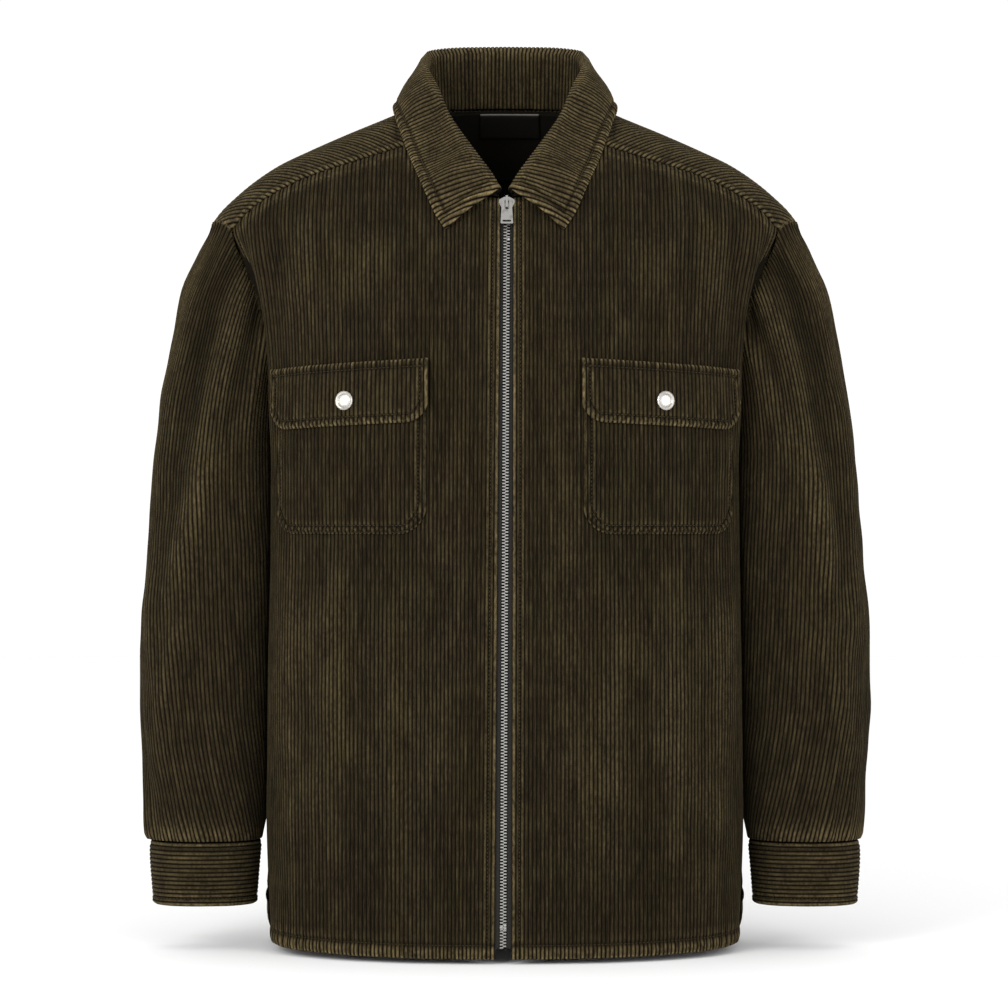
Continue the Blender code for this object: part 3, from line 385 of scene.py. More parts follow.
def back_seam_z(x):
    return BACK_SEAM_Z - BACK_SEAM_DROP * (np.abs(x) / 240.0) ** 2


def ridge_z(x):
    """Height of the shoulder's ridge."""
    rows = BODY[BODY[:, 0] >= TIP_Z][::-1]
    return smooth(np.abs(x), rows[:, 1], rows[:, 0])


def top_line(half, neckline, seam_z, first_x, last_x, count):
    """The top edge of a panel as (s, z): neckline, shoulder seam, then armhole."""
    line = [tuple(row) for row in neckline]
    for x in np.linspace(first_x, last_x, count):
        z = float(seam_z(x))
        line.append((run_at_x(half, x, z), z))
    return np.array(line + armhole_line(half, *line[-1]))


TOP_LINE = {"front": top_line("front", FRONT_NECK, forward_seam_z, NECK_X, FRONT_TIP_X, 16),
            "back": top_line("back", (), back_seam_z, 0.0, BACK_TIP_X, 14)}
SEAM_END_Z = {"front": float(forward_seam_z(FRONT_TIP_X)),
              "back": float(back_seam_z(BACK_TIP_X))}
ARMHOLE = {half: line[line[:, 1] <= SEAM_END_Z[half] + 0.01] for half, line in TOP_LINE.items()}


def zip_x(z):
    """x of the zip's middle, which leans a little."""
    share = (NECK_FRONT_Z - z) / (NECK_FRONT_Z - HEM_Z)
    return ZIP_TOP_X + (ZIP_BOTTOM_X - ZIP_TOP_X) * share


def front_edge(z):
    """Distance from the zip's middle to the edge of each front."""
    share = np.clip((NECK_FRONT_Z - z) / (NECK_FRONT_Z - HEM_Z), 0.0, 1.0)
    return FRONT_EDGE_TOP + (FRONT_EDGE_BOTTOM - FRONT_EDGE_TOP) * share


def hem_z(half, s):
    """Height of the hem, with a rounded corner at the side vent."""
    edge = side_run(half, HEM_Z) - VENT_OPEN
    rise = HEM_SIDE_RISE * (s / edge) ** 2
    inside = np.clip(s - (edge - HEM_CORNER), 0.0, HEM_CORNER)
    return HEM_Z + rise + HEM_CORNER - np.sqrt(HEM_CORNER ** 2 - inside ** 2)


def yoke_point(x, across):
    """A point of the yoke; across is -1 at the forward seam, 0 on the ridge, 1 behind."""
    top = ridge_z(x)
    seam = np.where(across < 0, forward_seam_z(x), back_seam_z(x))
    z = top - (top - seam) * across ** 2
    width, front, back, power, _ = table_values(BODY, z)
    depth = np.where(across < 0, front, back)
    inner = np.clip(1 - (np.abs(x) / width) ** power, 0.0, 1.0)
    y = np.sign(across) * depth * inner ** (1 / power)
    return np.stack([x, y, z], axis=-1)


def yoke_edge_x(across):
    """x of the yoke's edge along the armhole."""
    end = np.where(across < 0, FRONT_TIP_X, BACK_TIP_X)
    return TIP_X - 1.0 - (TIP_X - end) * np.abs(across) ** 1.7


def neck_across(x):
    """How far across the yoke the back neckline lies."""
    z = NECK_Z + (NECK_BACK_Z - NECK_Z) * (1 - (x / NECK_X) ** 2)
    top = ridge_z(x)
    return np.sqrt(np.clip((top - z) / (top - back_seam_z(x)), 0.0, 1.0))


def armhole_half(half, across):
    """The armhole from the tip of the shoulder to the underarm, in front or behind."""
    over = np.linspace(0.0, across, 9)
    tip = yoke_point(yoke_edge_x(over) + 1.0, over)
    return np.concatenate([tip, body_point(half, *ARMHOLE[half][1:].T)])


def sleeve_base(angle, z):
    """A point of the sleeve's tube before it is joined to the armhole."""
    outer, inner, front, back = table_values(SLEEVE, z)
    power = 2 / SLEEVE_SQUARENESS
    round_x = np.sign(np.cos(angle)) * np.abs(np.cos(angle)) ** power
    round_y = np.sign(np.sin(angle)) * np.abs(np.sin(angle)) ** power
    x = (outer + inner) / 2 + (outer - inner) / 2 * round_x
    y = (front + back) / 2 - (back - front) / 2 * round_y
    return np.stack([x, y, z], axis=-1)


FRONT_ARM, BACK_ARM = armhole_half("front", -1.0), armhole_half("back", 1.0)


def armhole_point(angle):
    """A point of the armhole, by angle round the sleeve; above zero is in front."""
    share = np.abs(angle) / math.pi
    front, back = along_line(FRONT_ARM, share), along_line(BACK_ARM, share)
    return np.where((angle >= 0)[..., None], front, back)


SIDE_LEVELS = LEVELS[LEVELS <= TIP_Z]
DEPTH_STEP = 4.0
SIDE_DEPTHS = np.arange(-100.0, 112.0, DEPTH_STEP)


def side_table():
    """Outermost x of the folded body for each level and depth."""
    rows = []
    for z in SIDE_LEVELS:
        line = np.concatenate([
            body_point(half, np.linspace(150.0, float(side_run(half, z)), 60), z)[::turn]
            for half, turn in (("front", 1), ("back", -1))])
        order = np.argsort(line[:, 1])
        rows.append(np.interp(SIDE_DEPTHS, line[order, 1], line[order, 0]))
    return np.array(rows)


SIDE_X = side_table()


def side_x(y, z):
    """x of the body's side."""
    return blend_cells(SIDE_X, (z - LEVELS[0]) / LEVEL_STEP, (y - SIDE_DEPTHS[0]) / DEPTH_STEP)


def level_out(points, middle_x, middle_y):
    """Level directions that point away from an upright line."""
    return unit((points - np.array([middle_x, middle_y, 0.0])) * np.array([1.0, 1.0, 0.0]))


def sleeve_point(angle, share):
    """A point of the plain sleeve: share is 0 at the armhole and 1 at the cuff."""
    start = armhole_point(angle)
    z = start[..., 2] + (CUFF_TOP_Z + SEWN - start[..., 2]) * share
    base = sleeve_base(angle, z)
    out = level_out(base, ARM_MID_X, ARM_MID_Y)
    height = fold_height(SLEEVE_FOLDS, np.degrees(angle), z)
    pull = start - sleeve_base(angle, start[..., 2])
    point = base + out * height[..., None] + pull * ((1 - share) ** SLEEVE_BLEND)[..., None]
    y = point[..., 1]
    slope = np.clip((side_x(y + 3, z) - side_x(y - 3, z)) / 6, -LEAN_MOST, LEAN_MOST)
    clear = ARM_LAP * ease(-z, -TIP_Z, 20.0 - TIP_Z) + ARM_CLEAR * ease(share, 0.0, 0.08)
    outside = side_x(y, z) + clear * np.hypot(1.0, slope)
    point[..., 0] = np.maximum(point[..., 0], np.where(np.abs(angle) > 0.6, outside, -1e3))
    return point


def neck_line():
    x = np.linspace(0.0, NECK_X, 12)
    back = yoke_point(x, neck_across(x))
    shoulder = yoke_point(np.full(6, NECK_X), np.linspace(0.0, -1.0, 6))
    run = np.linspace(84.0, FRONT_EDGE_TOP, 12)
    front = body_point("front", run, np.interp(run, FRONT_NECK[:, 0], FRONT_NECK[:, 1]))
    return np.concatenate([back, shoulder, front])


NECK_LINE = neck_line()


def collar_seam(share):
    x, y, z = along_line(NECK_LINE, np.array(table_values(SEAM_PACE, share)))[0]
    beside = float(ease(x, 60.0, NECK_X))
    return np.array([x - 2.6 * beside, y, z + SEAM_GAP + 1.4 - 0.9 * beside])


def depth_at(half, x, z):
    """Distance from the middle plane to the body's surface, in front or behind."""
    width, front, back, power, _ = table_values(BODY, z)
    inner = np.clip(1 - (np.abs(x) / width) ** power, 1e-4, 1.0)
    return (front if half == "front" else back) * inner ** (1 / power)


def depth_slopes(half, x, z):
    return ((depth_at(half, x + 1, z) - depth_at(half, x - 1, z)) / 2,
            (depth_at(half, x, z + 1) - depth_at(half, x, z - 1)) / 2)


LEAF_RUN = 66.0          # nominal length of the collar's leaf


def collar_profile(share):
    """One slice of the collar: up the stand, over the roll, down the leaf."""
    seam = collar_seam(share)
    roll, edge = [np.array(table_values(table, share)) for table in (COLLAR_ROLL, COLLAR_EDGE)]
    if share >= LEAF_LIES:
        lean = math.hypot(1.0, *depth_slopes("front", edge[0], edge[2]))
        edge[1] = -depth_at("front", edge[0], edge[2]) - LEAF_REST * lean
    leaf, stand = unit(edge - roll), unit(seam - roll)
    up = -unit(leaf + stand)
    out = unit(leaf - stand - np.dot(leaf - stand, up) * up)
    hub = roll - up * ROLL_RADIUS
    inner = hub - out * ROLL_RADIUS
    outer = hub + out * ROLL_RADIUS
    rise = [seam * (1 - t) + inner * t for t in np.linspace(0.0, 1.0, 12)[:-1]]
    turn = [hub + (out * math.cos(a) + up * math.sin(a)) * ROLL_RADIUS
            for a in np.linspace(math.pi, 0.0, 13)]
    fall = [outer * (1 - t) + edge * t + out * LEAF_BULGE * math.sin(math.pi * t)
            for t in np.linspace(0.0, 1.0, 16)[1:]]
    up_half = along_line(np.array(rise + turn[:7]), np.linspace(0.0, 1.0, 24))
    down_half = along_line(np.array(turn[6:] + fall), np.linspace(0.0, 1.0, 34))
    return np.concatenate([up_half[:-1], down_half])


COLLAR_SHARES = np.linspace(0.0, 1.0, 161)
COLLAR_TABLE = np.array([collar_profile(s) for s in COLLAR_SHARES])
LEAF_ROW = 23            # the table's column where the roll's top is


def inner_back(x, z, inward):
    """A point inside the back neck, a given distance in from the yoke's middle."""
    slope_x, slope_z = depth_slopes("back", x, z)
    middle = np.stack([x, depth_at("back", x, z), z], axis=-1)
    return middle - unit(np.stack([-slope_x, np.ones_like(x), -slope_z], axis=-1)) * inward


def rounded_low(runs, inner, outer, low_z, radius_out, radius_in):
    """The lower edge of a pocket or flap, with rounded corners."""
    low = np.full_like(runs, low_z)
    for edge, size in ((inner, radius_in), (outer, radius_out)):
        inside = np.clip(size - np.abs(runs - edge), 0.0, size)
        low += size - np.sqrt(size ** 2 - inside ** 2)
    return low


# ---- sheets of cloth ---------------------------------------------------------------
def wale_columns(low, high):
    """Places across the wales from low to high, and the height of the wale at each."""
    count = max(1, int(round((high - low) / PITCH)))
    step = (high - low) / count
    places = (low + step * (np.arange(count)[:, None] + PHASES[None, :])).ravel()
    return np.append(places, high), np.append(np.tile(PROFILE, count), 0.0)


def plain_columns(low, high, step):
    """The same for a cloth with no wales."""
    count = max(2, int(round((high - low) / step))) + 1
    return np.linspace(low, high, count), np.zeros(count)


def line_distance(points, line):
    """Distance from each point to a line of points, all in (u, v)."""
    best = np.full(len(points), 1e9)
    for a, b in zip(line[:-1], line[1:]):
        along = b - a
        t = np.clip(((points - a) @ along) / max(along @ along, 1e-12), 0.0, 1.0)
        best = np.minimum(best, np.hypot(*(points - a - t[:, None] * along).T))
    return best


def thinned(line, step=4.0):
    """The line with points about a step apart, and its ends kept."""
    count = max(2, int(run_along(line)[-1] / step) + 1)
    return along_line(line, np.linspace(0.0, 1.0, count))


def surface_normals(base, u, v):
    across = base(u + 0.8, v) - base(u - 0.8, v)
    along = base(u, v + 1.5) - base(u, v - 1.5)
    return unit(np.cross(across, along))


NEAR = (0.0, 1.2, 2.6, 4.2, 5.6, 7.0, 9.0, 12.0)      # rows close to the ends of a column
PLAIN_NEAR = (0.0, 1.5, 4.0)


class Sheet:
    """A sheet of cloth in (u, v): columns of points on shared rows, with plain edges."""

    def __init__(self, base, places, wale, top, low, side=1.0, near=NEAR, row=ROW):
        self.base, self.side = base, side
        self.places, self.top, self.low = places, top, low
        self.columns = [self.column(t, b, near, row) for t, b in zip(top, low)]
        self.first = np.concatenate([[0], np.cumsum([len(c) for c in self.columns])])
        self.u = np.repeat(places, [len(c) for c in self.columns])
        self.v = np.concatenate([[v for _, v in c] for c in self.columns])
        self.wale = np.repeat(wale, [len(c) for c in self.columns])
        self.faces = self.weave()
        self.edges = {
            "top": np.stack([places, top], 1), "low": np.stack([places, low], 1),
            "start": np.array([[places[0], top[0]], [places[0], low[0]]]),
            "end": np.array([[places[-1], top[-1]], [places[-1], low[-1]]])}

    @staticmethod
    def column(top, low, near, row):
        ends = [n for n in near if n < (low - top) * 0.45]
        start, stop = top + ends[-1], low - ends[-1]
        first, last = math.ceil(start / row + 0.3), math.floor(stop / row - 0.3)
        rows = [(-9000 + i, top + n) for i, n in enumerate(ends)]
        rows += [(k, k * row) for k in range(first, last + 1)]
        return rows + [(9000 - i, low - ends[i]) for i in range(len(ends) - 1, -1, -1)]

    def weave(self):
        """Quads between neighbouring columns where their rows match, triangles where not."""
        faces = []
        for left, right, a, b in zip(self.columns, self.columns[1:], self.first, self.first[1:]):
            i = j = 0
            while i < len(left) - 1 or j < len(right) - 1:
                both = i < len(left) - 1 and j < len(right) - 1
                if both and left[i + 1][0] == right[j + 1][0]:
                    faces.append((a + i, a + i + 1, b + j + 1, b + j))
                    i, j = i + 1, j + 1
                elif j == len(right) - 1 or (both and left[i + 1][0] < right[j + 1][0]):
                    faces.append((a + i, a + i + 1, b + j))
                    i += 1
                else:
                    faces.append((a + i, b + j + 1, b + j))
                    j += 1
        return faces

    def distance(self, *names):
        points = np.stack([self.u, self.v], 1)
        return np.min([line_distance(points, thinned(self.edges[n])) for n in names], axis=0)

    def loop(self):
        """Indices of the points round the sheet's edge."""
        count = len(self.columns)
        tops = [int(self.first[i]) for i in range(count)]
        lows = [int(self.first[i + 1] - 1) for i in range(count)]
        right = list(range(tops[-1] + 1, lows[-1]))
        left = list(range(tops[0] + 1, lows[0]))
        return tops + right + lows[::-1] + left[::-1]


def inner_side(sheet, cell_u, cell_v):
    """Triangles of the plain side: the sheet's own edge and a wide grid inside it."""
    loop = sheet.loop()
    edge = np.stack([sheet.u[loop], sheet.v[loop]], 1)
    grid_u, grid_v = np.meshgrid(np.arange(edge[:, 0].min() + 8, edge[:, 0].max(), cell_u),
                                 np.arange(edge[:, 1].min() + 8, edge[:, 1].max(), cell_v))
    grid = np.stack([grid_u.ravel(), grid_v.ravel()], 1)
    top = np.interp(grid[:, 0], sheet.places, sheet.top)
    low = np.interp(grid[:, 0], sheet.places, sheet.low)
    grid = grid[(grid[:, 1] > top + GRID_CLEAR) & (grid[:, 1] < low - GRID_CLEAR)]
    grid = grid[line_distance(grid, thinned(np.vstack([edge, edge[:1]]))) > GRID_CLEAR]
    points = np.vstack([edge, grid])
    count = len(edge)
    ties = [(i, (i + 1) % count) for i in range(count)]
    result = geometry.delaunay_2d_cdt([Vector(p) for p in points], ties, [], 1, 1e-6)
    back = [origin[0] if origin else -1 for origin in result[3]]
    faces = [tuple(back[i] for i in face) for face in result[2]]
    return loop, grid, [f for f in faces if min(f) >= 0 and len(set(f)) == len(f)]


def wale_tone(sheet):
    """A lightness from 0 to 1 that differs from wale to wale and drifts along each one."""
    number = np.floor(sheet.u / PITCH + 0.01)
    own = np.sin(number * 12.9898 + 4.1) * 43758.5453
    own = own - np.floor(own)
    drift = np.sin(sheet.v / (11.0 + 9.0 * own) + own * 40.0)
    drift = drift * np.sin(sheet.v / 31.0 + number * 1.7)
    return np.clip(0.15 + 0.55 * own + 0.30 * drift, 0.0, 1.0)


def make_cloth(name, sheet, material, wall, rise=0.0, marks=None, wale=WALE, cells=CELLS):
    """The mesh of a sheet: its wales outside, its edge, and its plain inner side."""
    normal = surface_normals(sheet.base, sheet.u, sheet.v) * sheet.side
    middle = sheet.base(sheet.u, sheet.v)
    outer = middle + normal * (wall / 2 - SINK + sheet.wale * wale + rise)[:, None]
    loop, grid, patch = inner_side(sheet, *cells)
    inner_edge = middle[loop] - normal[loop] * (wall / 2)
    grid_normal = surface_normals(sheet.base, *grid.T) * sheet.side
    points = np.concatenate([outer, inner_edge, sheet.base(*grid.T) - grid_normal * (wall / 2)])
    count, start = len(loop), len(outer)
    faces = list(sheet.faces)
    faces += [(loop[i], start + i, start + (i + 1) % count, loop[(i + 1) % count])
              for i in range(count)]
    faces += [tuple(start + k for k in face) for face in patch]
    # The mark of painted shade for grooves and hollows is zero unless a piece gives it.
    values = {"wale": sheet.wale, "pile": np.ones(len(outer)), "tone": wale_tone(sheet),
              "across": sheet.u, "along": sheet.v, "dark": np.zeros(len(outer))}
    values.update(marks or {})
    values["wear"] = np.maximum(values.get("wear", values["dark"]), 0.0)
    filled = {key: np.concatenate([value, value[loop] if key != "pile" else value[loop] * 0,
                                   np.zeros(len(points) - start - count)])
              for key, value in values.items()}
    return make_mesh(name, points, faces, material, filled)


def make_mesh(name, points, faces, material, values=None):
    """An object from points in mm, with every face pointing outwards."""
    mesh = bpy.data.meshes.new(name)
    mesh.from_pydata((np.asarray(points) * MM).tolist(), [], faces)
    for key, value in (values or {}).items():
        mesh.attributes.new(key, "FLOAT", "POINT").data.foreach_set(
            "value", np.asarray(value, dtype=np.float32))
    mesh.validate()
    shape = bmesh.new()
    shape.from_mesh(mesh)
    bmesh.ops.recalc_face_normals(shape, faces=shape.faces)
    shape.to_mesh(mesh)
    shape.free()
    mesh.shade_smooth()
    mesh.materials.append(material)
    item = bpy.data.objects.new(name, mesh)
    bpy.context.scene.collection.objects.link(item)
    return item


def belongs(item, slot, *nodes):
    """The piece rides on the jacket and stands for these solids, which are hidden. The slot is
    not used.
    """
    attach(item, BODY_NAME)
    if nodes:
        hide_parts(*nodes)
    return item


# ---- small folds, only in the cloth that shows -------------------------------------
BODY_WAVES = [
    # s_top s_low  z_top  z_low  width height
    (36.0, 44.0, -150.0, -735.0, 17.0, 1.6),
    (92.0, 80.0, -385.0, -735.0, 22.0, 2.0),
    (150.0, 162.0, -385.0, -735.0, 20.0, 2.2),
    (205.0, 196.0, -390.0, -735.0, 18.0, 2.4),
    (120.0, 140.0, -90.0, -215.0, 20.0, 1.6),
    (178.0, 200.0, -80.0, -215.0, 14.0, 2.0)]
BUTTON_AT = (139.0, -257.0, 26.0)         # run, level and reach of the still cloth round a button


def drape(s, z, side):
    """Height of the soft waves on a front; none at the zip, at a button or at the edges."""
    s = np.abs(s)
    waves = fold_height(BODY_WAVES, s + 5.0 * side * np.sin(z / 170.0), z)
    waves = waves + 0.9 * wander(s + 400.0 * side, z * 0.55, 7, 34.0)
    still = bump(np.hypot(s - BUTTON_AT[0], z - BUTTON_AT[1]), 0.0, BUTTON_AT[2])
    calm = ease(s, 22.0, 60.0) * (1 - ease(s, 225.0, 262.0)) * (1 - still)
    return waves * calm * ease(-z, 60.0, 130.0)


def mirrored(points, side):
    """Points of the right-hand half, moved to the given side."""
    return points * np.array([side, 1.0, 1.0])


def front_surface(side, out=0.0):
    """Points of a front at s = u, z = -v, moved out by a distance or by a function of (u, v)."""
    def base(u, v):
        rise = out(u, v) if callable(out) else out
        return mirrored(body_point("front", u, -v, rise + drape(u, -v, side)), side)
    return base


LEAST_SPAN = 1.6         # a shorter column is left out


def fitted_sheet(base, inside, reach, first, last, step, side=1.0):
    """The sheet that covers a shape, with its wales between -reach and reach."""
    places, wale = wale_columns(-reach, reach)
    v = np.arange(first, last + step, step)
    u_grid, v_grid = np.meshgrid(places, v, indexing="ij")
    mask = inside(u_grid, v_grid)
    filled = np.flatnonzero(mask.sum(axis=1) * step > LEAST_SPAN)
    top = v[np.argmax(mask, axis=1)]
    low = v[len(v) - 1 - np.argmax(mask[:, ::-1], axis=1)]
    keep = slice(filled[0], filled[-1] + 1)
    return Sheet(base, places[keep], wale[keep], top[keep], low[keep], side=side)


def seam_marks(distance, inset=7.5, puff=0.7):
    """Rise and wear beside an edge: rolled rim, puffed band, and the groove of each stitching."""
    rise = puff * bump(distance, inset * 0.5, inset * 0.33) - 0.9 * bump(distance, 0.0, 1.3)
    rise = rise - 0.75 * bump(distance, inset, 1.1)
    wear = 0.85 * bump(distance, 0.6, 1.6) + 0.30 * bump(distance, inset * 0.5, inset * 0.4)
    wear = wear + 0.25 * bump(distance, inset + 2.6, 1.6)
    return rise, wear


def groove_shade(*gaps):
    """Painted shade along the lines where the stitching pulls the cloth down."""
    return np.clip(sum(bump(gap, 0.0, 1.3) for gap in gaps), 0.0, 1.0)


def pucker(along, across, reach, seed, size=0.5):
    """Small waves beside a sewn edge, fading away from it."""
    ripple = 0.6 * wander(along, across * 0.3, seed, 9.0)
    ripple = ripple + np.sin(along / 1.05 + 2.0 * np.sin(along / 17.0))
    return size * ripple * np.exp(-(across / reach) ** 2)


# ---- stitches ----------------------------------------------------------------------
STITCH_LONG, STITCH_WIDE, STITCH_EVERY = 2.5, 0.62, 3.4


def stitch_row(sheet, line, height):
    """Middle, direction and outward normal of every stitch along a line of (u, v)."""
    run = run_along(line)
    count = max(1, int(run[-1] / STITCH_EVERY))
    at = (np.arange(count) + 0.5) * run[-1] / count
    u, v = (np.interp(at, run, column) for column in line.T)
    ahead = [np.interp(at + 1.0, run, column) - np.interp(at - 1.0, run, column)
             for column in line.T]
    step_u, step_v = unit(np.stack(ahead, axis=-1)).T
    normal = surface_normals(sheet.base, u, v) * sheet.side
    middle = sheet.base(u, v) + normal * height
    along = sheet.base(u + step_u, v + step_v) - sheet.base(u - step_u, v - step_v)
    return middle, unit(along), normal


def make_stitches(name, rows, material):
    """All the stitches of one piece as one mesh of small six-sided spindles."""
    middle, along, normal = [np.concatenate(part) for part in zip(*rows)]
    across = np.cross(along, normal)
    shape = [(-0.5, 0.0), (-0.38, 0.8), (0.38, 0.8), (0.5, 0.0)]
    sides = 6
    rings, faces = [], []
    for place, width in shape:
        for k in range(sides if width else 1):
            turn = 2 * math.pi * k / sides
            off = across * math.cos(turn) + normal * math.sin(turn) * 0.8
            off = off * width * STITCH_WIDE / 2
            sag = -0.25 * abs(place * 2) ** 2
            rings.append(middle + along * place * STITCH_LONG + off + normal * sag)
    points = np.stack(rings, axis=1)
    per = points.shape[1]
    tip = 1 + 2 * sides
    one = [(0, 1 + (k + 1) % sides, 1 + k) for k in range(sides)]
    one += [(1 + k, 1 + (k + 1) % sides, 1 + sides + (k + 1) % sides, 1 + sides + k)
            for k in range(sides)]
    one += [(tip, 1 + sides + k, 1 + sides + (k + 1) % sides) for k in range(sides)]
    for i in range(len(points)):
        faces += [tuple(i * per + c for c in face) for face in one]
    item = make_mesh(name, points.reshape(-1, 3), faces, material)
    return belongs(item, "corduroy")


def round_inset(sheet, distance):
    """A line a set distance inside the sides and low edge, eased round the lower corners."""
    places = sheet.places
    keep = (places >= places[0] + distance) & (places <= places[-1] - distance)
    line = np.stack([places[keep], sheet.low[keep] - distance], 1)
    sides = []
    for u, level in ((places[0] + distance, line[0, 1]), (places[-1] - distance, line[-1, 1])):
        down = np.arange(np.interp(u, places, sheet.top) + 1.5, level, 3.0)
        sides.append(np.stack([np.full_like(down, u), down], 1))
    line = np.vstack([sides[0], line, sides[1][::-1]])
    edge = [sheet.edges["start"][:1], sheet.edges["low"], sheet.edges["end"][:1]]
    clear = line_distance(line, thinned(np.vstack(edge), 2.0))
    return thinned(line[clear > distance * 0.93], 2.0)


def make_corduroy(name, sheet, look, wall, rise, wear, dark=None, rows=(), cells=CELLS):
    """A piece of corduroy with its stitches: rows of (line, height over the wall)."""
    # The optional mark is painted shade for stitching grooves and for pucker and crease hollows.
    marks = {"wear": wear} if dark is None else {"wear": wear, "dark": dark}
    item = make_cloth(name, sheet, look["corduroy"], wall, rise, marks=marks, cells=cells)
    if rows:
        made = [stitch_row(sheet, line, wall / 2 + height) for line, height in rows]
        make_stitches(f"{name}_stitches", made, look["thread"])
    return belongs(item, "corduroy", name)


# ---- fronts, back and yoke ---------------------------------------------------------
CHEST_Z = -200.0
SIDE_BAND = 72.0         # the strip beside a side seam that takes up the body's shape


def mirrored_by(points, u):
    """Points for u below zero are moved to the other half."""
    return points * np.stack([np.where(u < 0, -1.0, 1.0), 1.0 + 0 * u, 1.0 + 0 * u], axis=-1)


def panel_sheet(half, side):
    """Sheet of a front or of the back; u is about s, v is -z."""
    limit = float(side_run(half, UNDERARM_Z)) - SEWN
    fixed = limit - SIDE_BAND

    def outer(z):
        vent = VENT_OPEN if half == "front" else 0.0
        opened = vent * ease(-z, -VENT_TOP_Z, -VENT_TOP_Z + 20.0)
        return side_run(half, np.minimum(z, UNDERARM_Z)) - SEWN - opened

    def run(u, z):
        u_abs = np.abs(u)
        wide = fixed + (u_abs - fixed) * (outer(z) - fixed) / SIDE_BAND
        s = np.where(u_abs > fixed, wide, u_abs)
        if half == "front":
            s = s + (front_edge(z) + side * zip_x(z)) * (1 - ease(u_abs, -6.0, 90.0))
        return s

    def base(u, v):
        z = -v
        s = run(u, z)
        if half == "front":
            points = body_point(half, s, z, drape(s, z, side))
            points[..., 0] -= 8.0 * ease(-z, 610.0, 735.0) * ease(s, 190.0, 285.0)
            return mirrored(points, side)
        waves = 1.4 * wander(u, z * 0.4, 11, 46.0) * ease(-z, 130.0, 220.0)
        return mirrored_by(body_point(half, s, z, waves), u)

    places, wale = wale_columns(0.0 if half == "front" else -limit, limit)
    sewn = SEWN if half == "front" else -BACK_LAP
    top = sewn - np.interp(run(places, np.full_like(places, CHEST_Z)), *TOP_LINE[half].T)
    low = -hem_z(half, run(places, np.full_like(places, HEM_Z)))
    return Sheet(base, places, wale, top, low, side=-side if half == "front" else 1.0)


def make_front(name, side, look):
    sheet = panel_sheet("front", side)
    u, v, edge, hem, to_side = sheet.u, sheet.v, 7.0, 12.0, sheet.places[-1] - sheet.u
    to_hem, to_top = sheet.distance("low"), sheet.distance("top")
    rise, wear = seam_marks(u, edge, 0.6)
    hem_rise, hem_wear = seam_marks(to_hem, hem, 0.6)
    rise = rise + hem_rise + (-0.8 * bump(to_top, 0.0, 1.6) + pucker(u, to_top, 9.0, 3, 0.7))
    rise = rise - 0.7 * bump(to_side, 0.0, 1.6) + pucker(v, u - 5.0, 10.0, 5, 0.35)
    rise = rise + pucker(u, to_hem - 8.0, 11.0, 6, 0.5)
    wear = wear + hem_wear + 0.55 * bump(to_top, 0.5, 1.8) + 0.35 * bump(to_top, 6.0, 3.0)
    wear = wear + 0.35 * bump(to_hem, 5.0, 6.0) + 0.10 * np.maximum(drape(u, -v, side), 0.0)
    places = sheet.places
    down = np.arange(sheet.top[0] + 3.0, sheet.low[0] - hem, 4.0)
    low = np.stack([places, sheet.low - hem], 1)[(places > edge) & (places < places[-1] - 8.0)]
    arm = places > run_at_x("front", FRONT_TIP_X - 3.0, -102.5)
    arm = np.stack([places[arm] - 5.0, sheet.top[arm] + 3.0], 1)[:-30]
    rows = [(np.stack([np.full_like(down, edge), down], 1), 0.35),
            (thinned(low, 3.0), 0.35), (thinned(arm, 3.0), 0.5)]
    # Painted shade along the stitching grooves of the front edge and the hem, and along the top
    # seam.
    dark = groove_shade(u - edge, to_hem - hem, to_top)
    return make_corduroy(name, sheet, look, CLOTH, rise, wear, dark, rows)


def make_back(look):
    sheet = panel_sheet("back", 1.0)
    hem = 12.0
    to_hem, to_top = sheet.distance("low"), sheet.distance("top")
    rise, wear = seam_marks(to_hem, hem, 0.6)
    rise = rise - 0.8 * bump(to_top, 0.0, 1.6) + pucker(sheet.u, to_top, 9.0, 4, 0.6)
    wear = wear + 0.6 * bump(to_top, 0.6, 1.8)
    low = np.stack([sheet.places, sheet.low - hem], 1)[40:-40]
    return make_corduroy("back", sheet, look, CLOTH, rise, wear, rows=[(thinned(low, 3.0), 0.35)])


YOKE_TUCK = (1.1, 1.4)   # how far the yoke runs on under the sleeve's edge, and more behind
YOKE_END = 1 - 0.5 * SEWN / 28.0
YOKE_SLANT = 0.80        # how far a wale runs inward for each step down the front of the yoke
ACROSS = np.linspace(-1.25, 1.1, 95)
YOKE_X = np.linspace(0.0, TIP_X - 0.1, 120)


def yoke_lengths():
    """Distance over the yoke from the ridge, by x and across; negative in front."""
    x, across = np.meshgrid(YOKE_X, ACROSS, indexing="ij")
    run = run_along(yoke_point(x, across))
    ridge = np.array([np.interp(0.0, ACROSS, row) for row in run])
    return run - ridge[:, None]


YOKE_RUN = yoke_lengths()
YOKE_T = np.arange(-95.0, 245.1, 1.0)
YOKE_ACROSS = np.array([np.interp(YOKE_T, row, ACROSS) for row in YOKE_RUN])


def yoke_place(u, v):
    """x and across for a place on the yoke's cloth."""
    lean = YOKE_SLANT * np.maximum(0.0, -v - 4.0)
    x = np.abs(u) - lean
    across = blend_cells(YOKE_ACROSS, np.abs(x) / (YOKE_X[1] - YOKE_X[0]), (v - YOKE_T[0]))
    return x, across


def yoke_base(u, v):
    x, across = yoke_place(u, v)
    points = yoke_point(np.clip(x, -TIP_X + 0.2, TIP_X - 0.2), across)
    return mirrored_by(points, u)


def on_yoke(u, v):
    x, across = yoke_place(u, v)
    reach = yoke_edge_x(across) + YOKE_TUCK[0] + YOKE_TUCK[1] * ease(across, 0.5, 1.0)
    neck = np.where(across < 0, np.abs(x) >= NECK_X,
                    across >= neck_across(np.minimum(np.abs(x), NECK_X)))
    return ((np.abs(across) <= YOKE_END) & (np.abs(x) <= reach)
            & (neck | (np.abs(x) >= NECK_X)) & (x >= -1.0))


